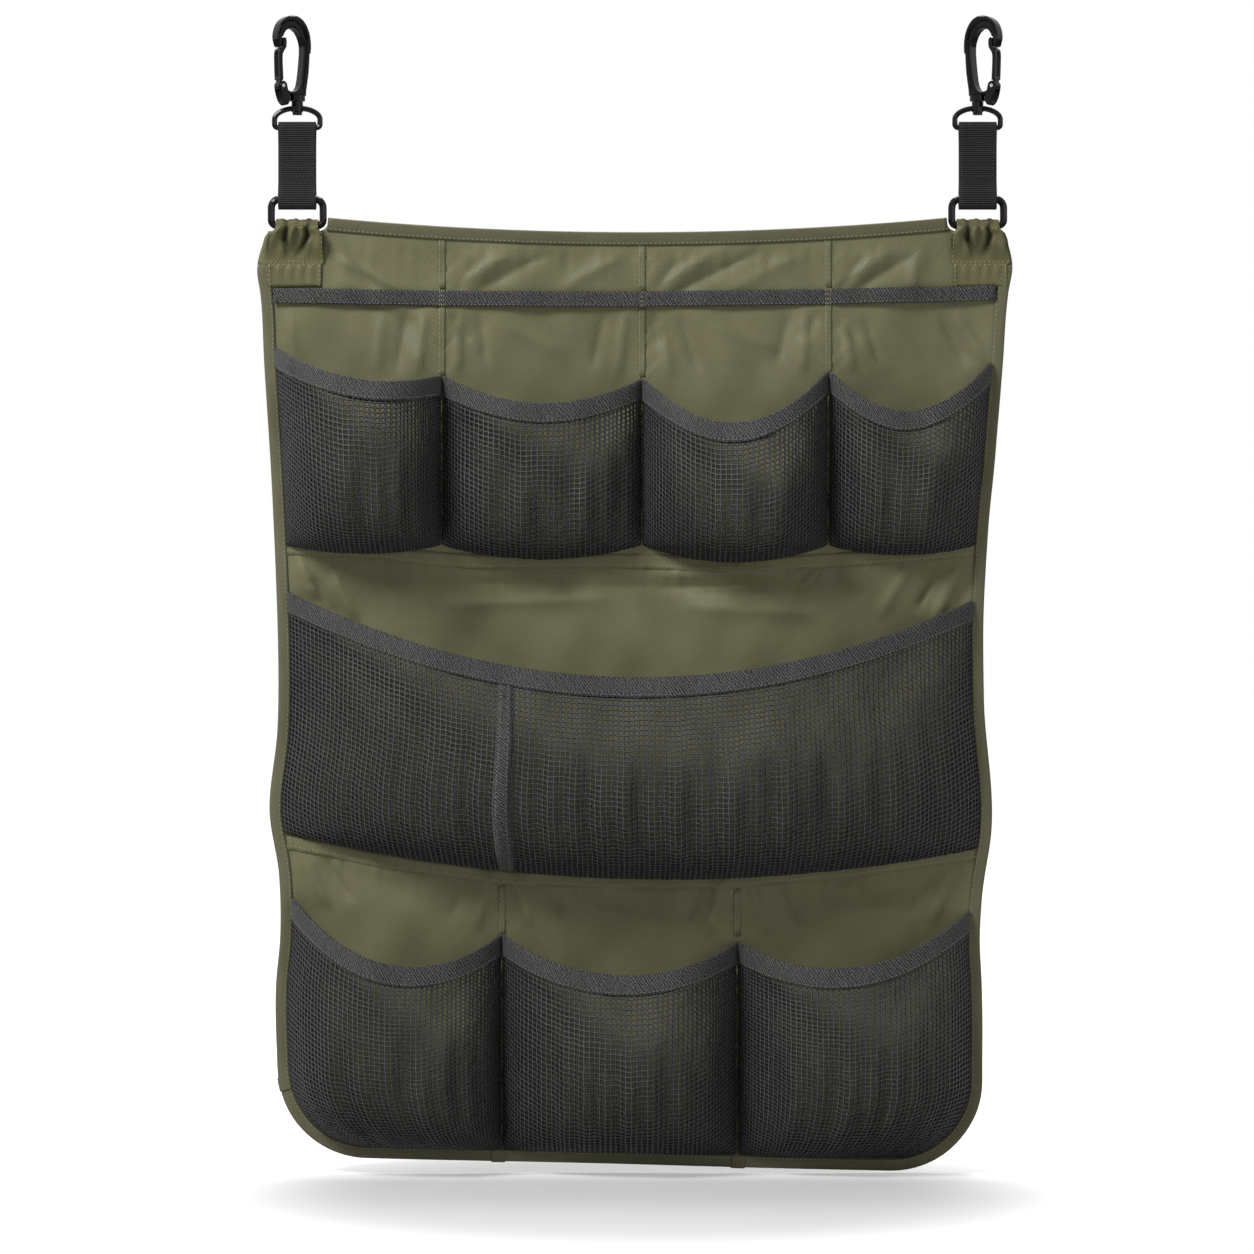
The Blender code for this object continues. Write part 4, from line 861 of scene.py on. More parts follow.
EDGE_BINDING_WIDTH = 0.008
TOP_HEM_WIDTH = 0.009
HEM_SHADE = ("#535139", "#62604A")
HEM_ROUGHNESS = 0.44
BINDING_SHADE = ("#5E5C46", "#6C6A52")
BINDING_WEAVE = 0.0011
BINDING_ROUGHNESS, BINDING_SHEEN = 0.55, 0.06
FOLDED_TAPE = 0.0006
TAPE_SEAT = 0.0003           # between the folded tape and the panel
TAPE_CROWN = 0.0004          # how far the folded tape stands proud along its middle
TAPE_FOLD = 0.0012           # from the folded edge to where both legs start
BINDING_OFFSET = PANEL_CLOTH / 2 + TAPE_SEAT + FOLDED_TAPE / 2
BINDING_SEAM_INSET = 0.0014
BINDING_SEAM_OUT = BINDING_OFFSET + FOLDED_TAPE / 2 + 0.0002
JOINT_LENGTH = 0.009
JOINT_LIFT = 0.0007          # a lapped end lies over the tape below it
TAPE_JOINTS = ((-0.2370, 0.5670), (-0.0920, 0.6190), (0.0650, 0.6210))    # as (x, drop)
EDGE_COLUMNS, JOINT_COLUMNS, HEM_COLUMNS = 130, 12, 150
HEM_OVERLAP = 0.0004         # how far the hem's ends reach past the notches' inner sides


def folded_section(width, offset):
    """Section of tape folded over an edge: (inward, out) from the front leg's end to the back's."""
    leg = [(inward, offset + TAPE_CROWN * math.sin(math.pi * (width - inward) / width))
           for inward in np.linspace(width, TAPE_FOLD, 7)]
    turn = np.linspace(-math.pi / 2, math.pi / 2, 7)[1:-1]
    round_fold = TAPE_FOLD - FOLDED_TAPE / 2
    bend = [(TAPE_FOLD - round_fold * math.cos(a), leg[-1][1] * math.sin(a)) for a in turn]
    return [(inward, -out) for inward, out in leg] + bend + leg[::-1]


def tape_over_edge(name, x, drop, width, material, replaced=(), lift=0.0):
    """Folded tape along an edge given as places (x, drop); the cloth lies to the path's left."""
    ahead = np.stack([np.gradient(x), np.gradient(drop)], -1)
    ahead /= np.linalg.norm(ahead, axis=1)[:, None]
    inward_x, inward_drop = ahead[:, 1], -ahead[:, 0]
    length = arc(np.stack([x, drop], -1))
    rows, uv = [], []
    for depth, out in folded_section(width + lift, BINDING_OFFSET + lift):
        depth -= lift
        rows.append(on_cloth(x + inward_x * depth, drop + inward_drop * depth, out))
        uv.append(np.stack([length, np.full(len(x), depth)], -1))
    cloth_piece(name, rows, uv, FOLDED_TAPE, material, "olive_tape", replaced, flip=True)
    seam = width - BINDING_SEAM_INSET
    return [on_cloth(x + inward_x * seam, drop + inward_drop * seam, face * BINDING_SEAM_OUT)
            for face in (-1, 1)]


def edge_path():
    """The panel's outline from the left tab round the lower edge to the right tab."""
    sides = []
    for way in (-1, 1):
        drops = panel_rows(way, 0.0)
        drops = np.concatenate([[BINDING_START_DROP], drops[drops > BINDING_START_DROP + 0.001]])
        sides.append((side_x(way, drops), drops))
    (left_x, left_drop), (right_x, right_drop) = sides
    across = np.linspace(0, 1, EDGE_COLUMNS)[1:-1]
    middle_x = left_x[-1] + (right_x[-1] - left_x[-1]) * across
    middle_drop = left_drop[-1] + (right_drop[-1] - left_drop[-1]) * across
    return (np.concatenate([left_x, middle_x, right_x[::-1]]),
            np.concatenate([left_drop, middle_drop, right_drop[::-1]]))


def tape_joint(name, x, drop, middle):
    """A short lap over the edge binding, where one length of tape ends over the next."""
    run = arc(np.stack([x, drop], -1))
    at = run[np.argmin(np.hypot(x - middle[0], drop - middle[1]))]
    reach = np.linspace(at - JOINT_LENGTH / 2, at + JOINT_LENGTH / 2, JOINT_COLUMNS)
    tape_over_edge(name, np.interp(reach, run, x), np.interp(reach, run, drop), EDGE_BINDING_WIDTH,
                   binding_cloth, lift=JOINT_LIFT)


binding_cloth = make_cloth("olive_binding_tape", BINDING_SHADE, BINDING_WEAVE, BINDING_ROUGHNESS,
                           BINDING_SHEEN)
hem_cloth = make_cloth("turned_nylon_hem", HEM_SHADE, NYLON_WEAVE, HEM_ROUGHNESS)
edge = edge_path()
olive_seams = tape_over_edge("panel_edge_binding", *edge, EDGE_BINDING_WIDTH, binding_cloth, ["edge_binding"])
for number, middle in enumerate(TAPE_JOINTS, 1):
    tape_joint(f"edge_binding_joint_{number}", *edge, middle)
hem_reach = NOTCH_INNER_X + HEM_OVERLAP
hem_x = np.linspace(hem_reach, -hem_reach, HEM_COLUMNS)
olive_seams += tape_over_edge("panel_top_hem", hem_x, top_curve(hem_x) - EDGE_INSET, TOP_HEM_WIDTH,
                              hem_cloth, ["top_binding"])


# Tabs
# At each upper corner a strip of the panel's cloth is gathered, folded round the ring's lower bar
# and sewn to both faces of the panel. The gathers spread out into soft pleats below the ring.

GAP = 0.0004                 # cloth on cloth
TAB_CLOTH = 0.0008
TAB_WIDTHS = (
    (-0.010, 0.0274), (0.0032, 0.0280), (0.0060, 0.0345), (0.0100, 0.0368), (0.0246, 0.0392),
    (0.0262, 0.0352), (0.0410, 0.0352),
)                            # width at a distance below the ring's bar
TAB_SHIFT = 0.0018           # the sewn end lies this much further out than the ring
TAB_TAIL = 0.0405            # the front layer runs on down to the gear-loop tape
TAB_SEWN_DROP = 0.0248
TAB_COLUMNS = 71
TAB_TAIL_ROWS, TAB_FRONT_ROWS, TAB_WRAP_ROWS, TAB_BACK_ROWS = 7, 40, 14, 22
TAB_FINE_DROP = 0.027        # above it the front layer's rows lie closer together
TAB_LUMPS = 0.0004           # mean height of the gathers round the bar
TAB_FULLNESS = 0.0022        # how far the gathers stand out at their mean
TAB_FLATTEN = (0.009, 0.0155)    # the drops over which they flatten: start and length
# Pleats: place across at the ring and at the sewn end, width at both, and height at the ring
TAB_PLEATS = (
    (0.10, 0.02, 0.11, 0.17, 0.0034), (0.44, 0.30, 0.08, 0.13, 0.0046), (0.62, 0.76, 0.06, 0.15, 0.0034),
    (0.92, 0.97, 0.10, 0.12, 0.0036),
)
TAB_VALLEYS = ((0.25, 0.42, 0.05, 0.07, 0.0050), (0.76, 0.55, 0.05, 0.07, 0.0050))
TAB_TAIL_PUCKERS = 0.0007    # mean height of the small puckers that fade out below the sewn end
TAB_TAIL_START = 0.0012
TAB_TAIL_FADE = (0.002, 0.006)
# Painted shade in the valleys and at the tab's sides: the (start, length) of the drops where it comes and
# goes
VALLEY_SHADE = ((-0.002, 0.003), (0.010, 0.014))
SIDE_SHADE = ((0.004, 0.004), (0.012, 0.010))
SIDE_SHADE_WIDTH = 0.045
VALLEY_SPREAD = (1.1, 0.9)   # its width at the ring, and what it gains down to the sewn end
DEEPEST_PAINTED_SHADE = 0.92
# the tabs' nylon, drawn darker than the panel's as painted shade of the gathered cloth
GATHERED_PAINTED_SHADE = ("#575539", "#716E4C")
TAB_SEAT = (0.011, 0.0025)   # the drops where the cloth reaches the panel and the pleats their height
TAB_ON_PANEL = (0.020, 0.006)    # where it starts to follow the panel's folds
TAB_SEAM_SIDES = (0.035, 0.965)    # shares across
TAB_END_SEAMS = (TAB_SEWN_DROP - 0.0006, TAB_SEWN_DROP + 0.0012)
TAB_END_RUN = (0.04, 0.96, 30)    # shares across, from and to, and places on them
TAB_BACK_SEAM = TAB_DROP - 0.0014
TAB_TAIL_SEAM = (TAB_TAIL - 0.001, 0.0275, 8)    # from, to and places on it
TAB_INNER_SEAM = (0.0235, 0.009, 9)
STITCH_LIFT = 0.0001         # of a stitch off the cloth's face


def tab_relief(u, down):
    """How far the gathered cloth stands out, at the share u across and a distance below the bar."""
    share = np.clip(down / TAB_SEWN_DROP, 0.0, 1.0)
    relief = TAB_FULLNESS + 0 * u
    for sign, folds in ((1, TAB_PLEATS), (-1, TAB_VALLEYS)):
        for top, bottom, narrow, wide, tall in folds:
            off = (u - top - (bottom - top) * share) / (narrow + (wide - narrow) * share)
            relief = relief + sign * tall * np.exp(-off ** 2)
    below = max(down - TAB_SEWN_DROP - TAB_TAIL_START, 0.0)
    fade = rise(below, 0.0, TAB_TAIL_FADE[0]) * math.exp(-below / TAB_TAIL_FADE[1])
    tail = TAB_TAIL_PUCKERS * (1 + np.sin(10 * math.pi * u + 1)) * fade
    return np.maximum(relief, 0.0) * (1 - rise(down, *TAB_FLATTEN)) + tail


def tab_painted_shade(u, down):
    """How much painted shade the cloth gets in a pleat's valley or at the tab's sides, from 0 to 1."""
    share = np.clip(down / TAB_SEWN_DROP, 0.0, 1.0)
    at_sides, in_valleys = [rise(down, *come) * (1 - rise(down, *go))
                            for come, go in (SIDE_SHADE, VALLEY_SHADE)]
    deep = np.exp(-(np.minimum(u, 1 - u) / SIDE_SHADE_WIDTH) ** 2) * at_sides
    for top, bottom, narrow, _, _ in TAB_VALLEYS:
        reach = narrow * (VALLEY_SPREAD[0] + VALLEY_SPREAD[1] * share)
        deep = deep + np.exp(-((u - top - (bottom - top) * share) / reach) ** 2) * in_valleys
    return np.clip(deep, 0.0, 1.0) * DEEPEST_PAINTED_SHADE


def tab_rows():
    """Up the front layer from its lower end, round the bar, and down the back layer."""
    front = np.concatenate([np.linspace(TAB_TAIL, TAB_FINE_DROP, TAB_TAIL_ROWS)[:-1],
                            np.linspace(TAB_FINE_DROP, 0, TAB_FRONT_ROWS)[:-1]])
    turn = np.linspace(0, math.pi, TAB_WRAP_ROWS + 1)
    back = np.linspace(0, TAB_DROP, TAB_BACK_ROWS)[1:]
    return [(d, 0.0, -1) for d in front] + [(0.0, a, 0) for a in turn] + [(d, 0.0, 1) for d in back]


def tab_place(way, u, down, turn=0.0, face=-1):
    """Places across one row of the tab: on its front (-1) or back (1), or round the bar (0)."""
    wrap = RING_WIRE_RADIUS + BAR_GAP + TAB_CLOTH / 2
    seat = PANEL_CLOTH / 2 + GAP + TAB_CLOTH / 2
    width = float(np.interp(down, *zip(*TAB_WIDTHS)))
    across = way * (HANGER_X + TAB_SHIFT * float(rise(down, 0.0, TAB_DROP))) + (u - 0.5) * width
    if not face:
        lump = TAB_LUMPS * (1 + np.sin(6 * math.pi * u - 0.6) + 0.5 * np.sin(13 * math.pi * u + 1))
        round_bar = wrap + lump * math.sin(turn)
        return np.stack([across, -round_bar * math.cos(turn), TAB_BAR_Z + round_bar * math.sin(turn)], -1)
    out = seat + (wrap - seat) * (1 - rise(down, 0.0, TAB_SEAT[0]))
    out = out + tab_relief(u, down) * rise(down, 0.0, TAB_SEAT[1])
    down_row = np.full(len(u), down)
    return np.stack([across, face * out + cloth_y(across, down_row) * rise(down, *TAB_ON_PANEL),
                     height(down_row)], -1)


def make_tab(side, way):
    u = np.linspace(0, 1, TAB_COLUMNS)
    stations = tab_rows()
    rows = [tab_place(way, u, *station) for station in stations]
    run = arc(np.array(rows)[:, TAB_COLUMNS // 2])
    uv = [np.stack([row[:, 0], np.full(len(u), at)], -1) for row, at in zip(rows, run)]
    tab = cloth_piece(side + "_gathered_tab", rows, uv, TAB_CLOTH, shaded_gathered_nylon, "olive_nylon",
                      [side + "_tab"])
    # painted shade of the pleats' valleys and the tab's sides, kept on the tab's points
    shadow = np.concatenate([tab_painted_shade(u, down) for down, _, _ in stations])
    tab.data.attributes.new("painted_pleat_shade", "FLOAT", "POINT").data.foreach_set("value", shadow)
    lift = np.array([0.0, -(TAB_CLOTH / 2 + STITCH_LIFT), 0.0])
    inner = np.linspace(*TAB_END_RUN)
    lines = [tab_place(way, inner, down) + lift for down in TAB_END_SEAMS]
    lines.append(tab_place(way, inner, TAB_BACK_SEAM, face=1) - lift)
    inner_side = TAB_SEAM_SIDES[1] if way < 0 else TAB_SEAM_SIDES[0]
    for at, stretch in [(at, TAB_TAIL_SEAM) for at in TAB_SEAM_SIDES] + [(inner_side, TAB_INNER_SEAM)]:
        places = [tab_place(way, np.array([at]), down)[0] + lift for down in np.linspace(*stretch)]
        lines.append(np.array(places))
    return lines


shaded_gathered_nylon = make_cloth("gathered_nylon_painted_shade", GATHERED_PAINTED_SHADE, NYLON_WEAVE, painted_shade_attribute="painted_pleat_shade")
for side, way in zip(SIDES, (-1, 1)):
    olive_seams += make_tab(side, way)


# Felled seams
# The panel is pieced: an upright seam runs down between the pockets of each row, and a level one
# below each row. Each is a flat fold of the same nylon with a row of stitches beside its edge.

SEAM_CLOTH = 0.0003
SEAM_SEAT = 0.0003
SEAM_FOLD_WIDTH = 0.0044
SEAM_ROW = 0.004             # places along an upright seam
STITCH_INSET = 0.0008
STITCH_SIDES = (-(PANEL_CLOTH / 2 + SEAM_SEAT + SEAM_CLOTH), PANEL_CLOTH / 2 + STITCH_LIFT)
GEAR_LOOP_DROPS = (0.0464, 0.0487, 0.0444)    # of the loops' middle, left, centre and right
GEAR_LOOP_REACH = 0.23       # from the centre to either end
GEAR_LOOP_HALF = 0.0055      # half their width, and a gap
MIDDLE_SEAM_END = 0.1000


def seam_fold(name, x, drop, start, end):
    """A flat fold on the panel's front, from start to end, each a step (x, drop) off the line."""
    rows, uv = [], []
    for share in np.linspace(0, 1, 5):
        px, pd = [line + near + (far - near) * share for line, near, far in zip((x, drop), start, end)]
        rows.append(on_cloth(px, pd, -(PANEL_CLOTH / 2 + SEAM_SEAT + SEAM_CLOTH / 2)))
        uv.append(np.stack([px, -pd], -1))
    cloth_piece(name, rows, uv, SEAM_CLOTH, nylon, "olive_nylon")


def upright_seam(name, x, start, end):
    drop = np.linspace(start, end, int((end - start) / SEAM_ROW))
    across = np.full(len(drop), x)
    seam_fold(name, across, drop, (SEAM_FOLD_WIDTH / 2, 0), (-SEAM_FOLD_WIDTH / 2, 0))
    beside = across - SEAM_FOLD_WIDTH / 2 + STITCH_INSET
    return [on_cloth(beside, drop, out) for out in STITCH_SIDES]


for number, seam in enumerate(UPPER_SEAMS, 1):
    hem_end = float(top_curve(seam)) + TOP_HEM_WIDTH - EDGE_INSET + GAP
    loop_middle = float(np.interp(seam, (-GEAR_LOOP_REACH, 0.0, GEAR_LOOP_REACH), GEAR_LOOP_DROPS))
    olive_seams += upright_seam(f"upper_seam_fold_{number}", seam, hem_end, loop_middle - GEAR_LOOP_HALF)
    olive_seams += upright_seam(f"middle_seam_fold_{number}", seam, loop_middle + GEAR_LOOP_HALF,
                                MIDDLE_SEAM_END)


# Gear loops
# Ribbed grey grosgrain tape runs across the panel below the hem and is bar-tacked at each upright
# seam, so that the tape between two tacks is a loop to clip things to.

BINDING_INNER = EDGE_BINDING_WIDTH + GAP    # what lies on the panel stops this far from its edge
LOOP_TAPE = 0.0008
LOOP_TAPE_WIDTH = 0.010
LOOP_BOW = 0.0015
LOOP_COLUMNS = 40            # between two tacks
LOOP_SEAM_INSET = 0.0009
TACK_SPREAD = 0.0014         # between the lines of a bar tack
TACK_REACH = 0.0046
# from painted shade between the ribs to painted highlight on their tops
GROSGRAIN_SHADE_TO_RIB_HIGHLIGHT = ("#101010", "#60605E")
GROSGRAIN_RIB = 0.0016       # real ribs lie 0.7 mm apart and would not show
GROSGRAIN_BUMP = 0.00025


def make_grosgrain():
    """Grosgrain: close ribs across it with a fine warp over them, dull grey with painted highlight on the rib
    tops and painted shade between them.
    """
    material, tree = new_material("grey_grosgrain")
    place = node(tree, "ShaderNodeTexCoord").outputs["UV"]
    slanted = node(tree, "ShaderNodeMapping", {0: place, "Rotation": (0, 0, math.radians(34))})
    ribs = node(tree, "ShaderNodeTexWave", {
        "Vector": slanted, "Scale": BAND / GROSGRAIN_RIB, "Distortion": 4.0, "Detail": 1.0,
        "Detail Scale": 2.0}, bands_direction="X").outputs["Fac"]
    fibre = noise(tree, place, 0.0011, 2.0, (1.0, 0.7, 1.0))
    grain = node(tree, "ShaderNodeMath", (ribs, 0.40, fibre), operation="MULTIPLY_ADD")
    # the bump's height also sets the colour: the fibre's own tone, with painted highlight on the rib tops and
    # painted shade between them
    level = node(tree, "ShaderNodeMath", (grain, 1.1, -0.3), operation="MULTIPLY_ADD")
    finish_material(tree, grain, GROSGRAIN_BUMP, {
        "Base Color": between(tree, level, *GROSGRAIN_SHADE_TO_RIB_HIGHLIGHT),
        "Roughness": between(tree, fibre, 0.6, 0.75),
        "Specular IOR Level": 0.2, "Sheen Weight": 0.08, "Sheen Roughness": 0.4})
    return material


def loop_line():
    """Places (x, drop) along the middle of the gear-loop tape, and its bow off the panel."""
    left, middle, right = GEAR_LOOP_DROPS
    start = float(side_x(-1, left, BINDING_INNER))
    end = float(side_x(1, right, BINDING_INNER))
    tacks = np.array((start, *UPPER_SEAMS, end))
    x = np.concatenate([np.linspace(a, b, LOOP_COLUMNS)[:-1] for a, b in zip(tacks, tacks[1:])] + [[end]])
    across = (x - start) / (end - start)
    drop = left + (right - left) * across + (middle - (left + right) / 2) * 4 * across * (1 - across)
    share = np.interp(x, tacks, np.arange(len(tacks))) % 1
    return x, drop, LOOP_BOW * np.sin(math.pi * share) ** 2


grosgrain = make_grosgrain()
loop_x, loop_drop, loop_bow = loop_line()
loop_seat = PANEL_CLOTH / 2 + 2 * GAP + TAB_CLOTH + LOOP_TAPE / 2
loop_y = cloth_y(loop_x, loop_drop) - loop_seat - loop_bow
rows, uv = [], []
for across in LOOP_TAPE_WIDTH * np.linspace(0.5, -0.5, 6):
    rows.append(np.stack([loop_x, loop_y, height(loop_drop + across)], -1))
    uv.append(np.stack([loop_x, np.full(len(loop_x), across)], -1))
cloth_piece("gear_loop_grosgrain", rows, uv, LOOP_TAPE, grosgrain, "grey_tape",
                            ["gear_loop_tape"], flip=True)
for seam in UPPER_SEAMS:
    at = float(np.interp(seam, loop_x, loop_drop))
    y = float(cloth_y(np.array(seam), np.array(at))) - loop_seat - LOOP_TAPE / 2 - STITCH_LIFT
    for x in (seam - TACK_SPREAD, seam, seam + TACK_SPREAD):
        olive_seams.append([(x, y, height(at - TACK_REACH)), (x, y, height(at + TACK_REACH))])
loop_seam_drop = loop_drop + LOOP_TAPE_WIDTH / 2 - LOOP_SEAM_INSET
grey_seams = [np.stack([loop_x, loop_y - LOOP_TAPE / 2, height(loop_seam_drop)], -1)[2:-2]]


# Net pockets
# Knitted polyester net, cut wider than its place, pleated into its bottom seam and bound along the
# mouth with folded grosgrain, so that each pocket bags out in a soft curve.

NET = 0.0010                 # through a twisted yarn
SEAM_HALF = 0.0008
MOUTH_BINDING_WIDTH = 0.012
MOUTH_SEAM_INSET = 0.0015
MOUTH_BINDING_OFFSET = NET / 2 + TAPE_SEAT + TAPE / 2
NET_SEAT = PANEL_CLOTH / 2 + GAP + NET / 2
MOUTH_SEAT = PANEL_CLOTH / 2 + GAP + MOUTH_BINDING_OFFSET + TAPE / 2
NET_PITCH = (0.0036, 0.0034)    # a real net is finer and would not show
HOLE_SHARE = 0.64            # a hole's side as a share of the pitch
NET_UNEVEN = 0.00026         # how far a knot strays from its place
NET_START = 0.0010           # the net starts this far below the mouth's edge, inside its binding
# from the painted shade at a strand's sides to the painted highlight along its middle
NET_SHADE_TO_HIGHLIGHT = ("#0E0E10", "#717175")
YARN_LOOPS = 0.0010
YARN_BUMP = 0.0002
MOUTH_FULLNESS = 0.80        # a pocket's depth at its mouth, as a share of its full depth
FULL_FROM = 0.45             # it is full from this share of the way down
SIDE_CURVE = (2.6, 0.75)     # powers that round it towards its sides
BOTTOM_CURVE = 5             # and towards its bottom seam
SEAT_CHANGE = 0.012          # below the mouth's binding, where the net comes in to the panel
BOTTOM_RISE = (0.85, 0.15)   # where the gathers lift it a little again
BOTTOM_LIFT = 0.0004
UPPER_MOUTH_DROPS = (0.0820, 0.1010, 0.1030, 0.0980, 0.0920)
UPPER_MOUTH_DIPS = (0.0136, 0.0182, 0.0330, 0.0300)
UPPER_DEPTHS = (0.058, 0.036, 0.048, 0.034)
UPPER_BOTTOM = (0.2110, 0.2110)
UPPER_BOTTOM_SAGS = (0.0054, 0.0090, 0.0111, 0.0063)
PLEAT_HEIGHT = 0.0035        # of the pleats that are sewn into the bottom seam
PLEAT_PITCH = 0.017
PLEAT_DROP = 0.1             # where the width between two seams is taken for the count of pleats
PLEAT_MEAN = 0.6             # lifts the waves, so that the pleats stand out more than they sink in
PLEAT_RISE = (0.25, 0.45)    # from and over what share of the way down they come
PLEAT_END = 8                # power with which they end at the seam
WIDE_MOUTH_DROPS = (0.2437, 0.2490)
WIDE_MOUTH_DIP = 0.0528
WIDE_DEPTH = 0.062
WIDE_BOTTOM_DROPS = (0.4010, 0.4114)
WIDE_BOTTOM_SAG = 0.0246
LOWER_MOUTH_DROPS = (0.4450, 0.4690, 0.4740, 0.4540)
LOWER_MOUTH_DIPS = (0.0295, 0.0215, 0.0240)
LOWER_DEPTHS = (0.050, 0.054, 0.044)
SLOPE_STEPS = (0.004, 0.001)    # share across and distance down over which the net's slope is taken
NET_SAMPLES = 241
NET_CROWDING = 1.6           # power that brings the samples closer together towards the bottom
BINDING_COLUMNS, WIDE_BINDING_COLUMNS = 61, 121


class Pocket:
    """One net pocket: where its sides, mouth and bottom lie and how far it stands out."""

    def __init__(self, name, left, right, mouth, dip, depth, bottom, sag):
        self.name, self.left, self.right = name, left, right
        self.mouth, self.dip, self.depth = mouth, dip, depth
        self.bottom, self.sag = bottom, sag

    def side(self, way, drop):
        fixed = self.left if way < 0 else self.right
        if fixed is None:
            return side_x(way, drop, BINDING_INNER)
        return fixed - way * SEAM_HALF + 0 * drop

    def mouth_drop(self, u):
        start, end = self.mouth
        return start + (end - start) * u + self.dip * 4 * u * (1 - u)

    def bottom_drop(self, u):
        if self.bottom is None:
            left, right = [float(self.side(way, np.array(self.mouth[0]))) for way in (-1, 1)]
            share = (left + (right - left) * u) / PANEL_WIDTH + 0.5
            return low_edge(share) - BINDING_INNER
        start, end = self.bottom
        return start + (end - start) * u + self.sag * 4 * u * (1 - u)

    def middle(self, u, down):
        """The net's middle, at the share u across and a distance down from the mouth."""
        top = self.mouth_drop(u)
        v = np.clip(down / (self.bottom_drop(u) - top), 0.0, 1.0)
        drop = top + down
        left, right = self.side(-1, drop), self.side(1, drop)
        x = left + (right - left) * u
        round_out = (1 - np.abs(2 * u - 1) ** SIDE_CURVE[0]) ** SIDE_CURVE[1]
        filled = np.sin(math.pi / 2 * np.minimum(v / FULL_FROM, 1.0))
        fullness = MOUTH_FULLNESS + (1 - MOUTH_FULLNESS) * filled
        bulge = self.depth * round_out * fullness * np.sqrt(np.maximum(1 - v ** BOTTOM_CURVE, 0.0))
        pleats = max(round((self.side(1, PLEAT_DROP) - self.side(-1, PLEAT_DROP)) / PLEAT_PITCH), 3)
        wave = np.sin(2 * math.pi * pleats * u + 3 * np.sin(5 * u + self.depth * 900)) * 0.5
        wave = wave + 0.5 * np.sin(2 * math.pi * pleats * 0.43 * u + 2.5 * v + self.dip * 500)
        bulge = bulge + (PLEAT_HEIGHT * (wave + PLEAT_MEAN) * round_out * rise(v, *PLEAT_RISE)
                         * (1 - v ** PLEAT_END))
        near_mouth = 1 - rise(down, MOUTH_BINDING_WIDTH, SEAT_CHANGE)
        seat = NET_SEAT + (MOUTH_SEAT - NET_SEAT) * near_mouth + BOTTOM_LIFT * rise(v, *BOTTOM_RISE)
        return np.stack(np.broadcast_arrays(x, cloth_y(x, drop) - seat - bulge, height(drop)), -1)

    def outward(self, u, down):
        """Unit normal of the net, pointing out of the pocket."""
        step, drop = SLOPE_STEPS
        across = self.middle(np.minimum(u + step, 1.0), down) - self.middle(np.maximum(u - step, 0.0), down)
        run = self.middle(u, down + drop) - self.middle(u, np.maximum(down - drop, 0.0))
        normal = np.cross(run, across)
        return normal / np.linalg.norm(normal, axis=-1, keepdims=True)


def row_of_pockets(name, seams, mouths, dips, depths, bottom, sags):
    edges = (None, *seams, None)
    return [Pocket(f"{name}_{at + 1}", edges[at], edges[at + 1], mouths[at:at + 2], dip, depth, bottom, sag)
            for at, (dip, depth, sag) in enumerate(zip(dips, depths, sags))]


def even_shares(places, count):
    """Shares from 0 to 1 at even steps of the line through places."""
    steps = arc(places)
    return np.interp(np.linspace(0, steps[-1], count + 1), steps, np.linspace(0, 1, len(places)))


def net_points(pocket):
    """The net's grid, its threads evenly spaced on the curve, and the flat size it was cut to."""
    fine = np.linspace(0, 1, NET_SAMPLES)
    level = pocket.middle(fine, 0.5 * (pocket.bottom_drop(fine) - pocket.mouth_drop(fine)))
    width = arc(level)[-1]
    columns = int(round(width / NET_PITCH[0]))
    shares = even_shares(level, columns)
    runs = []
    for u in shares:
        reach = float(pocket.bottom_drop(u) - pocket.mouth_drop(u))
        downs = NET_START + (reach - NET_START) * (1 - (1 - fine) ** NET_CROWDING)
        runs.append((downs, pocket.middle(np.full(len(fine), u), downs)))
    lengths = [arc(places)[-1] for downs, places in runs]
    rows = int(round(max(lengths) / NET_PITCH[1]))
    points = np.empty((rows + 1, columns + 1, 3))
    for column, (u, (downs, places)) in enumerate(zip(shares, runs)):
        share = even_shares(places, rows)
        points[:, column] = pocket.middle(np.full(rows + 1, u), np.interp(share, fine, downs))
    return points, (width, max(lengths)), float(np.mean(lengths) * width)


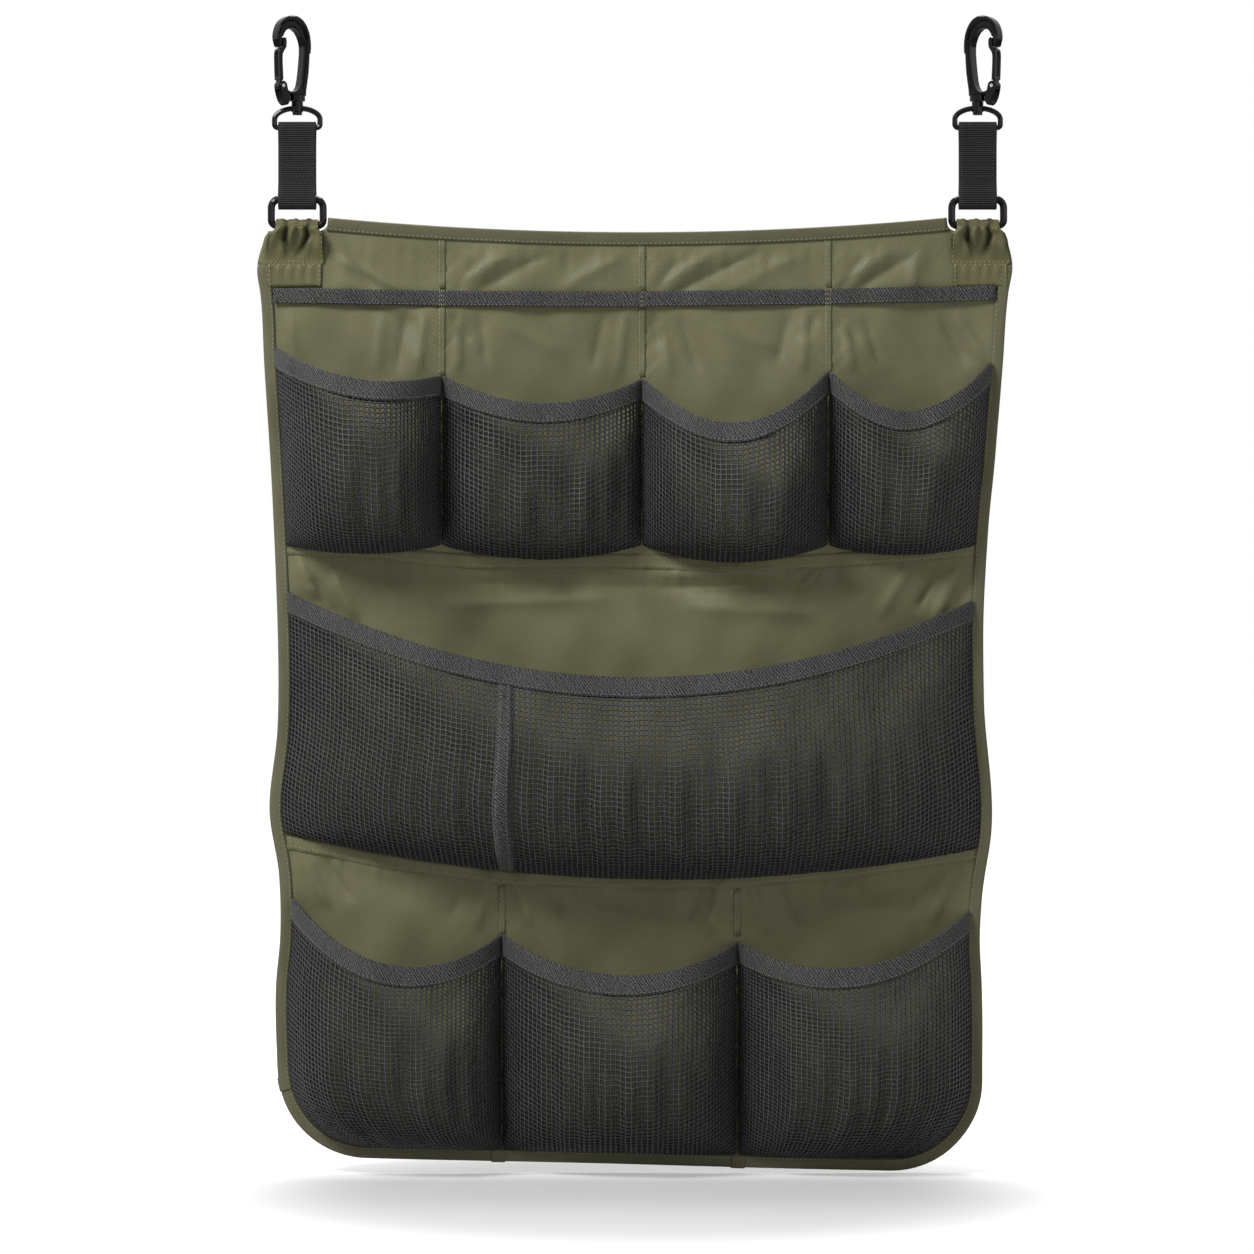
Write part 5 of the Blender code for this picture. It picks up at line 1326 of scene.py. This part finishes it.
def make_net_tree():
    """Open net from a grid of quads: every quad keeps a frame of yarn round its hole."""
    tree = new_tree("knitted_net", (
        ("Grid", "Geometry"), ("Hole Share", "Float"), ("Unevenness", "Float"), ("Seed", "Int"),
        ("Yarn", "Material")), "Net")
    given = node(tree, "NodeGroupInput").outputs
    stray = node(tree, "FunctionNodeRandomValue", {0: (-1, -1, -1), 1: (1, 1, 1), "Seed": given["Seed"]},
                 data_type="FLOAT_VECTOR")
    step = node(tree, "ShaderNodeVectorMath", {0: stray, "Scale": given["Unevenness"]}, operation="SCALE")
    loose = node(tree, "GeometryNodeSetPosition", {"Geometry": given["Grid"], "Offset": step})
    split = node(tree, "GeometryNodeExtrudeMesh", {"Mesh": loose, "Offset Scale": 0.0,
                                                   "Individual": True}, mode="FACES").outputs
    # marks the strands' middles, which get a painted highlight
    ridge = node(tree, "FunctionNodeBooleanMath", (split["Top"],), operation="NOT")
    marked = node(tree, "GeometryNodeStoreNamedAttribute", {
        "Geometry": split["Mesh"], "Name": "yarn_painted_highlight", "Value": ridge}, data_type="FLOAT", domain="POINT")
    holes = node(tree, "GeometryNodeScaleElements", {
        "Geometry": marked, "Selection": split["Top"], "Scale": given["Hole Share"]}, domain="FACE")
    open_net = node(tree, "GeometryNodeDeleteGeometry", {"Geometry": holes, "Selection": split["Top"]},
                    domain="FACE")
    real = node(tree, "GeometryNodeRealizeInstances", (open_net,))
    knitted = node(tree, "GeometryNodeSetMaterial", {"Geometry": real, "Material": given["Yarn"]})
    node(tree, "NodeGroupOutput", {"Net": knitted})
    return tree


def make_yarn():
    """Twisted polyester yarn: dull dark grey, with painted highlight along each strand's middle and painted
    shade at its sides.
    """
    material, tree = new_material("knitted_polyester_yarn")
    across = node(tree, "ShaderNodeAttribute", attribute_name="yarn_painted_highlight").outputs["Fac"]
    ridge = node(tree, "ShaderNodeMath", (across, 1.6), operation="POWER")
    loops = noise(tree, node(tree, "ShaderNodeTexCoord").outputs["Object"], YARN_LOOPS, 1.0)
    level = node(tree, "ShaderNodeMath", (loops, 0.55, ridge), operation="MULTIPLY_ADD")
    # painted highlight along the middle of each strand, painted shade at its sides
    painted_highlight_level = node(tree, "ShaderNodeMath", (level, 0.48), operation="MULTIPLY")
    finish_material(tree, loops, YARN_BUMP, {
        "Base Color": between(tree, painted_highlight_level, *NET_SHADE_TO_HIGHLIGHT), "Roughness": between(tree, loops, 0.5, 0.65),
        "Specular IOR Level": 0.25, "Sheen Weight": 0.03, "Sheen Roughness": 0.4})
    return material


def make_mouth_binding(pocket, columns):
    """Grosgrain folded over the mouth's edge: down its front, round the edge and down behind."""
    fold = MOUTH_BINDING_OFFSET
    u = np.linspace(0, 1, columns)
    turn = np.linspace(math.pi / 2, -math.pi / 2, 7)[1:-1]
    legs = np.linspace(MOUTH_BINDING_WIDTH, 0, 5)
    section = [(down, fold) for down in legs]
    section += [(-fold * math.cos(a), fold * math.sin(a)) for a in turn]
    section += [(down, -fold) for down in legs[::-1]]
    run = arc(pocket.middle(u, 0 * u))
    rows, uv = [], []
    for down, out in section:
        held = np.full(len(u), max(down, 0.0))
        place = pocket.middle(u, held) + pocket.outward(u, held) * out
        place[:, 2] += max(-down, 0.0)
        rows.append(place)
        uv.append(np.stack([run, np.full(len(u), down)], -1))
    at = np.full(len(u), MOUTH_BINDING_WIDTH - MOUTH_SEAM_INSET)
    grey_seams.append((pocket.middle(u, at) + pocket.outward(u, at) * (fold + TAPE / 2))[2:-2])
    return cloth_piece(pocket.name + "_mouth_binding", rows, uv, TAPE, grosgrain, "grey_tape",
                       [pocket.name + "_binding"])


upper_row = row_of_pockets("upper_pocket", UPPER_SEAMS, UPPER_MOUTH_DROPS, UPPER_MOUTH_DIPS, UPPER_DEPTHS,
                           UPPER_BOTTOM, UPPER_BOTTOM_SAGS)
wide_pocket = Pocket("wide_pocket", None, None, WIDE_MOUTH_DROPS, WIDE_MOUTH_DIP, WIDE_DEPTH,
                     WIDE_BOTTOM_DROPS, WIDE_BOTTOM_SAG)
lower_row = row_of_pockets("lower_pocket", LOWER_SEAMS, LOWER_MOUTH_DROPS, LOWER_MOUTH_DIPS, LOWER_DEPTHS,
                           None, (0.0, 0.0, 0.0))
net_tree = make_net_tree()
yarn = make_yarn()
for number, pocket in enumerate((*upper_row, wide_pocket, *lower_row)):
    points, cut, area = net_points(pocket)
    holder = new_object(pocket.name + "_grid", grid_mesh(pocket.name + "_grid", points))
    net = run_nodes(pocket.name + "_net", holder, net_tree, {
        "Hole Share": HOLE_SHARE, "Unevenness": NET_UNEVEN, "Seed": number, "Yarn": yarn}, NET)
    give(net, yarn, "panel", [pocket.name])
    binding = make_mouth_binding(
        pocket, WIDE_BINDING_COLUMNS if pocket is wide_pocket else BINDING_COLUMNS)


# Wide pocket's tape
# A flat grosgrain tape is sewn down the front of the wide pocket's net, from its binding to its
# bottom seam, and keeps the long net from bagging out too far.

WIDE_TAPE_X = -0.0870
WIDE_TAPE_WIDTH = 0.010
WIDE_TAPE_END = 0.985        # of the way down
WIDE_TAPE_ROWS = 90
WIDE_TAPE_STITCHES = 0.25    # of its width, to either side of its middle


def make_wide_tape(pocket):
    left = float(pocket.side(-1, np.array(pocket.mouth[0])))
    right = float(pocket.side(1, np.array(pocket.mouth[1])))
    v = np.linspace(0, 1, WIDE_TAPE_ROWS)
    start = MOUTH_BINDING_WIDTH + GAP
    columns, uv = [], []
    for share in np.linspace(-0.5, 0.5, 5):
        across = (WIDE_TAPE_X + WIDE_TAPE_WIDTH * share - left) / (right - left)
        u = np.full(len(v), across)
        end = WIDE_TAPE_END * (pocket.bottom_drop(across) - pocket.mouth_drop(across))
        down = start + (end - start) * np.sin(math.pi / 2 * v)
        out = pocket.outward(u, down)
        place = pocket.middle(u, down) + out * (NET / 2 + GAP + TAPE / 2)
        columns.append(place)
        uv.append(np.stack([arc(place), np.full(len(v), WIDE_TAPE_WIDTH * share)], -1))
        if abs(share) == WIDE_TAPE_STITCHES:
            grey_seams.append(place + out * (TAPE / 2))
    return cloth_piece("wide_pocket_grosgrain", columns, uv, TAPE, grosgrain, "grey_tape",
                       ["wide_pocket_tape"])


wide_tape = make_wide_tape(wide_pocket)


# Level seams below the rows and the lower row's upright seams
# The same felled fold, laid along the bottom of the upper row and of the wide pocket, and upright
# between the lower pockets.

LEVEL_FOLD = (0.0026, -0.0070)    # its lower and upper edge, from the stitches
TAPE_STITCH = (0.0028, 0.0022)    # pitch and length
OLIVE_THREAD = "#8C8A68"
GREY_THREAD = "#6E6E6C"
LEVEL_COLUMNS = 190
LOWER_SEAM_GAP = 0.0030      # below the wide pocket's stitches
LOWER_SEAM_END = 0.4690


def level_seam(name, line):
    left, right = [float(side_x(way, np.array(drop), BINDING_INNER))
                   for way, drop in ((-1, line[0][1]), (1, line[-1][1]))]
    x = np.linspace(left, right, LEVEL_COLUMNS)
    drop = along(line, x)
    seam_fold(name, x, drop, (0, LEVEL_FOLD[0]), (0, LEVEL_FOLD[1]))
    return [on_cloth(x, drop, out) for out in STITCH_SIDES]


olive_seams += level_seam("upper_row_seam_fold", UPPER_ROW_SEAM)
olive_seams += level_seam("wide_row_seam_fold", WIDE_ROW_SEAM)
for number, seam in enumerate(LOWER_SEAMS, 1):
    start = float(along(WIDE_ROW_SEAM, np.array(seam))) + LOWER_SEAM_GAP
    olive_seams += upright_seam(f"lower_seam_fold_{number}", seam, start, LOWER_SEAM_END)

sew("olive_panel_stitches", olive_seams, make_thread("olive_bonded_thread", OLIVE_THREAD),
                    "panel", "olive_tape")
sew("grey_tape_stitches", grey_seams, make_thread("grey_bonded_thread", GREY_THREAD),
                    "panel", "grey_tape", *TAPE_STITCH)
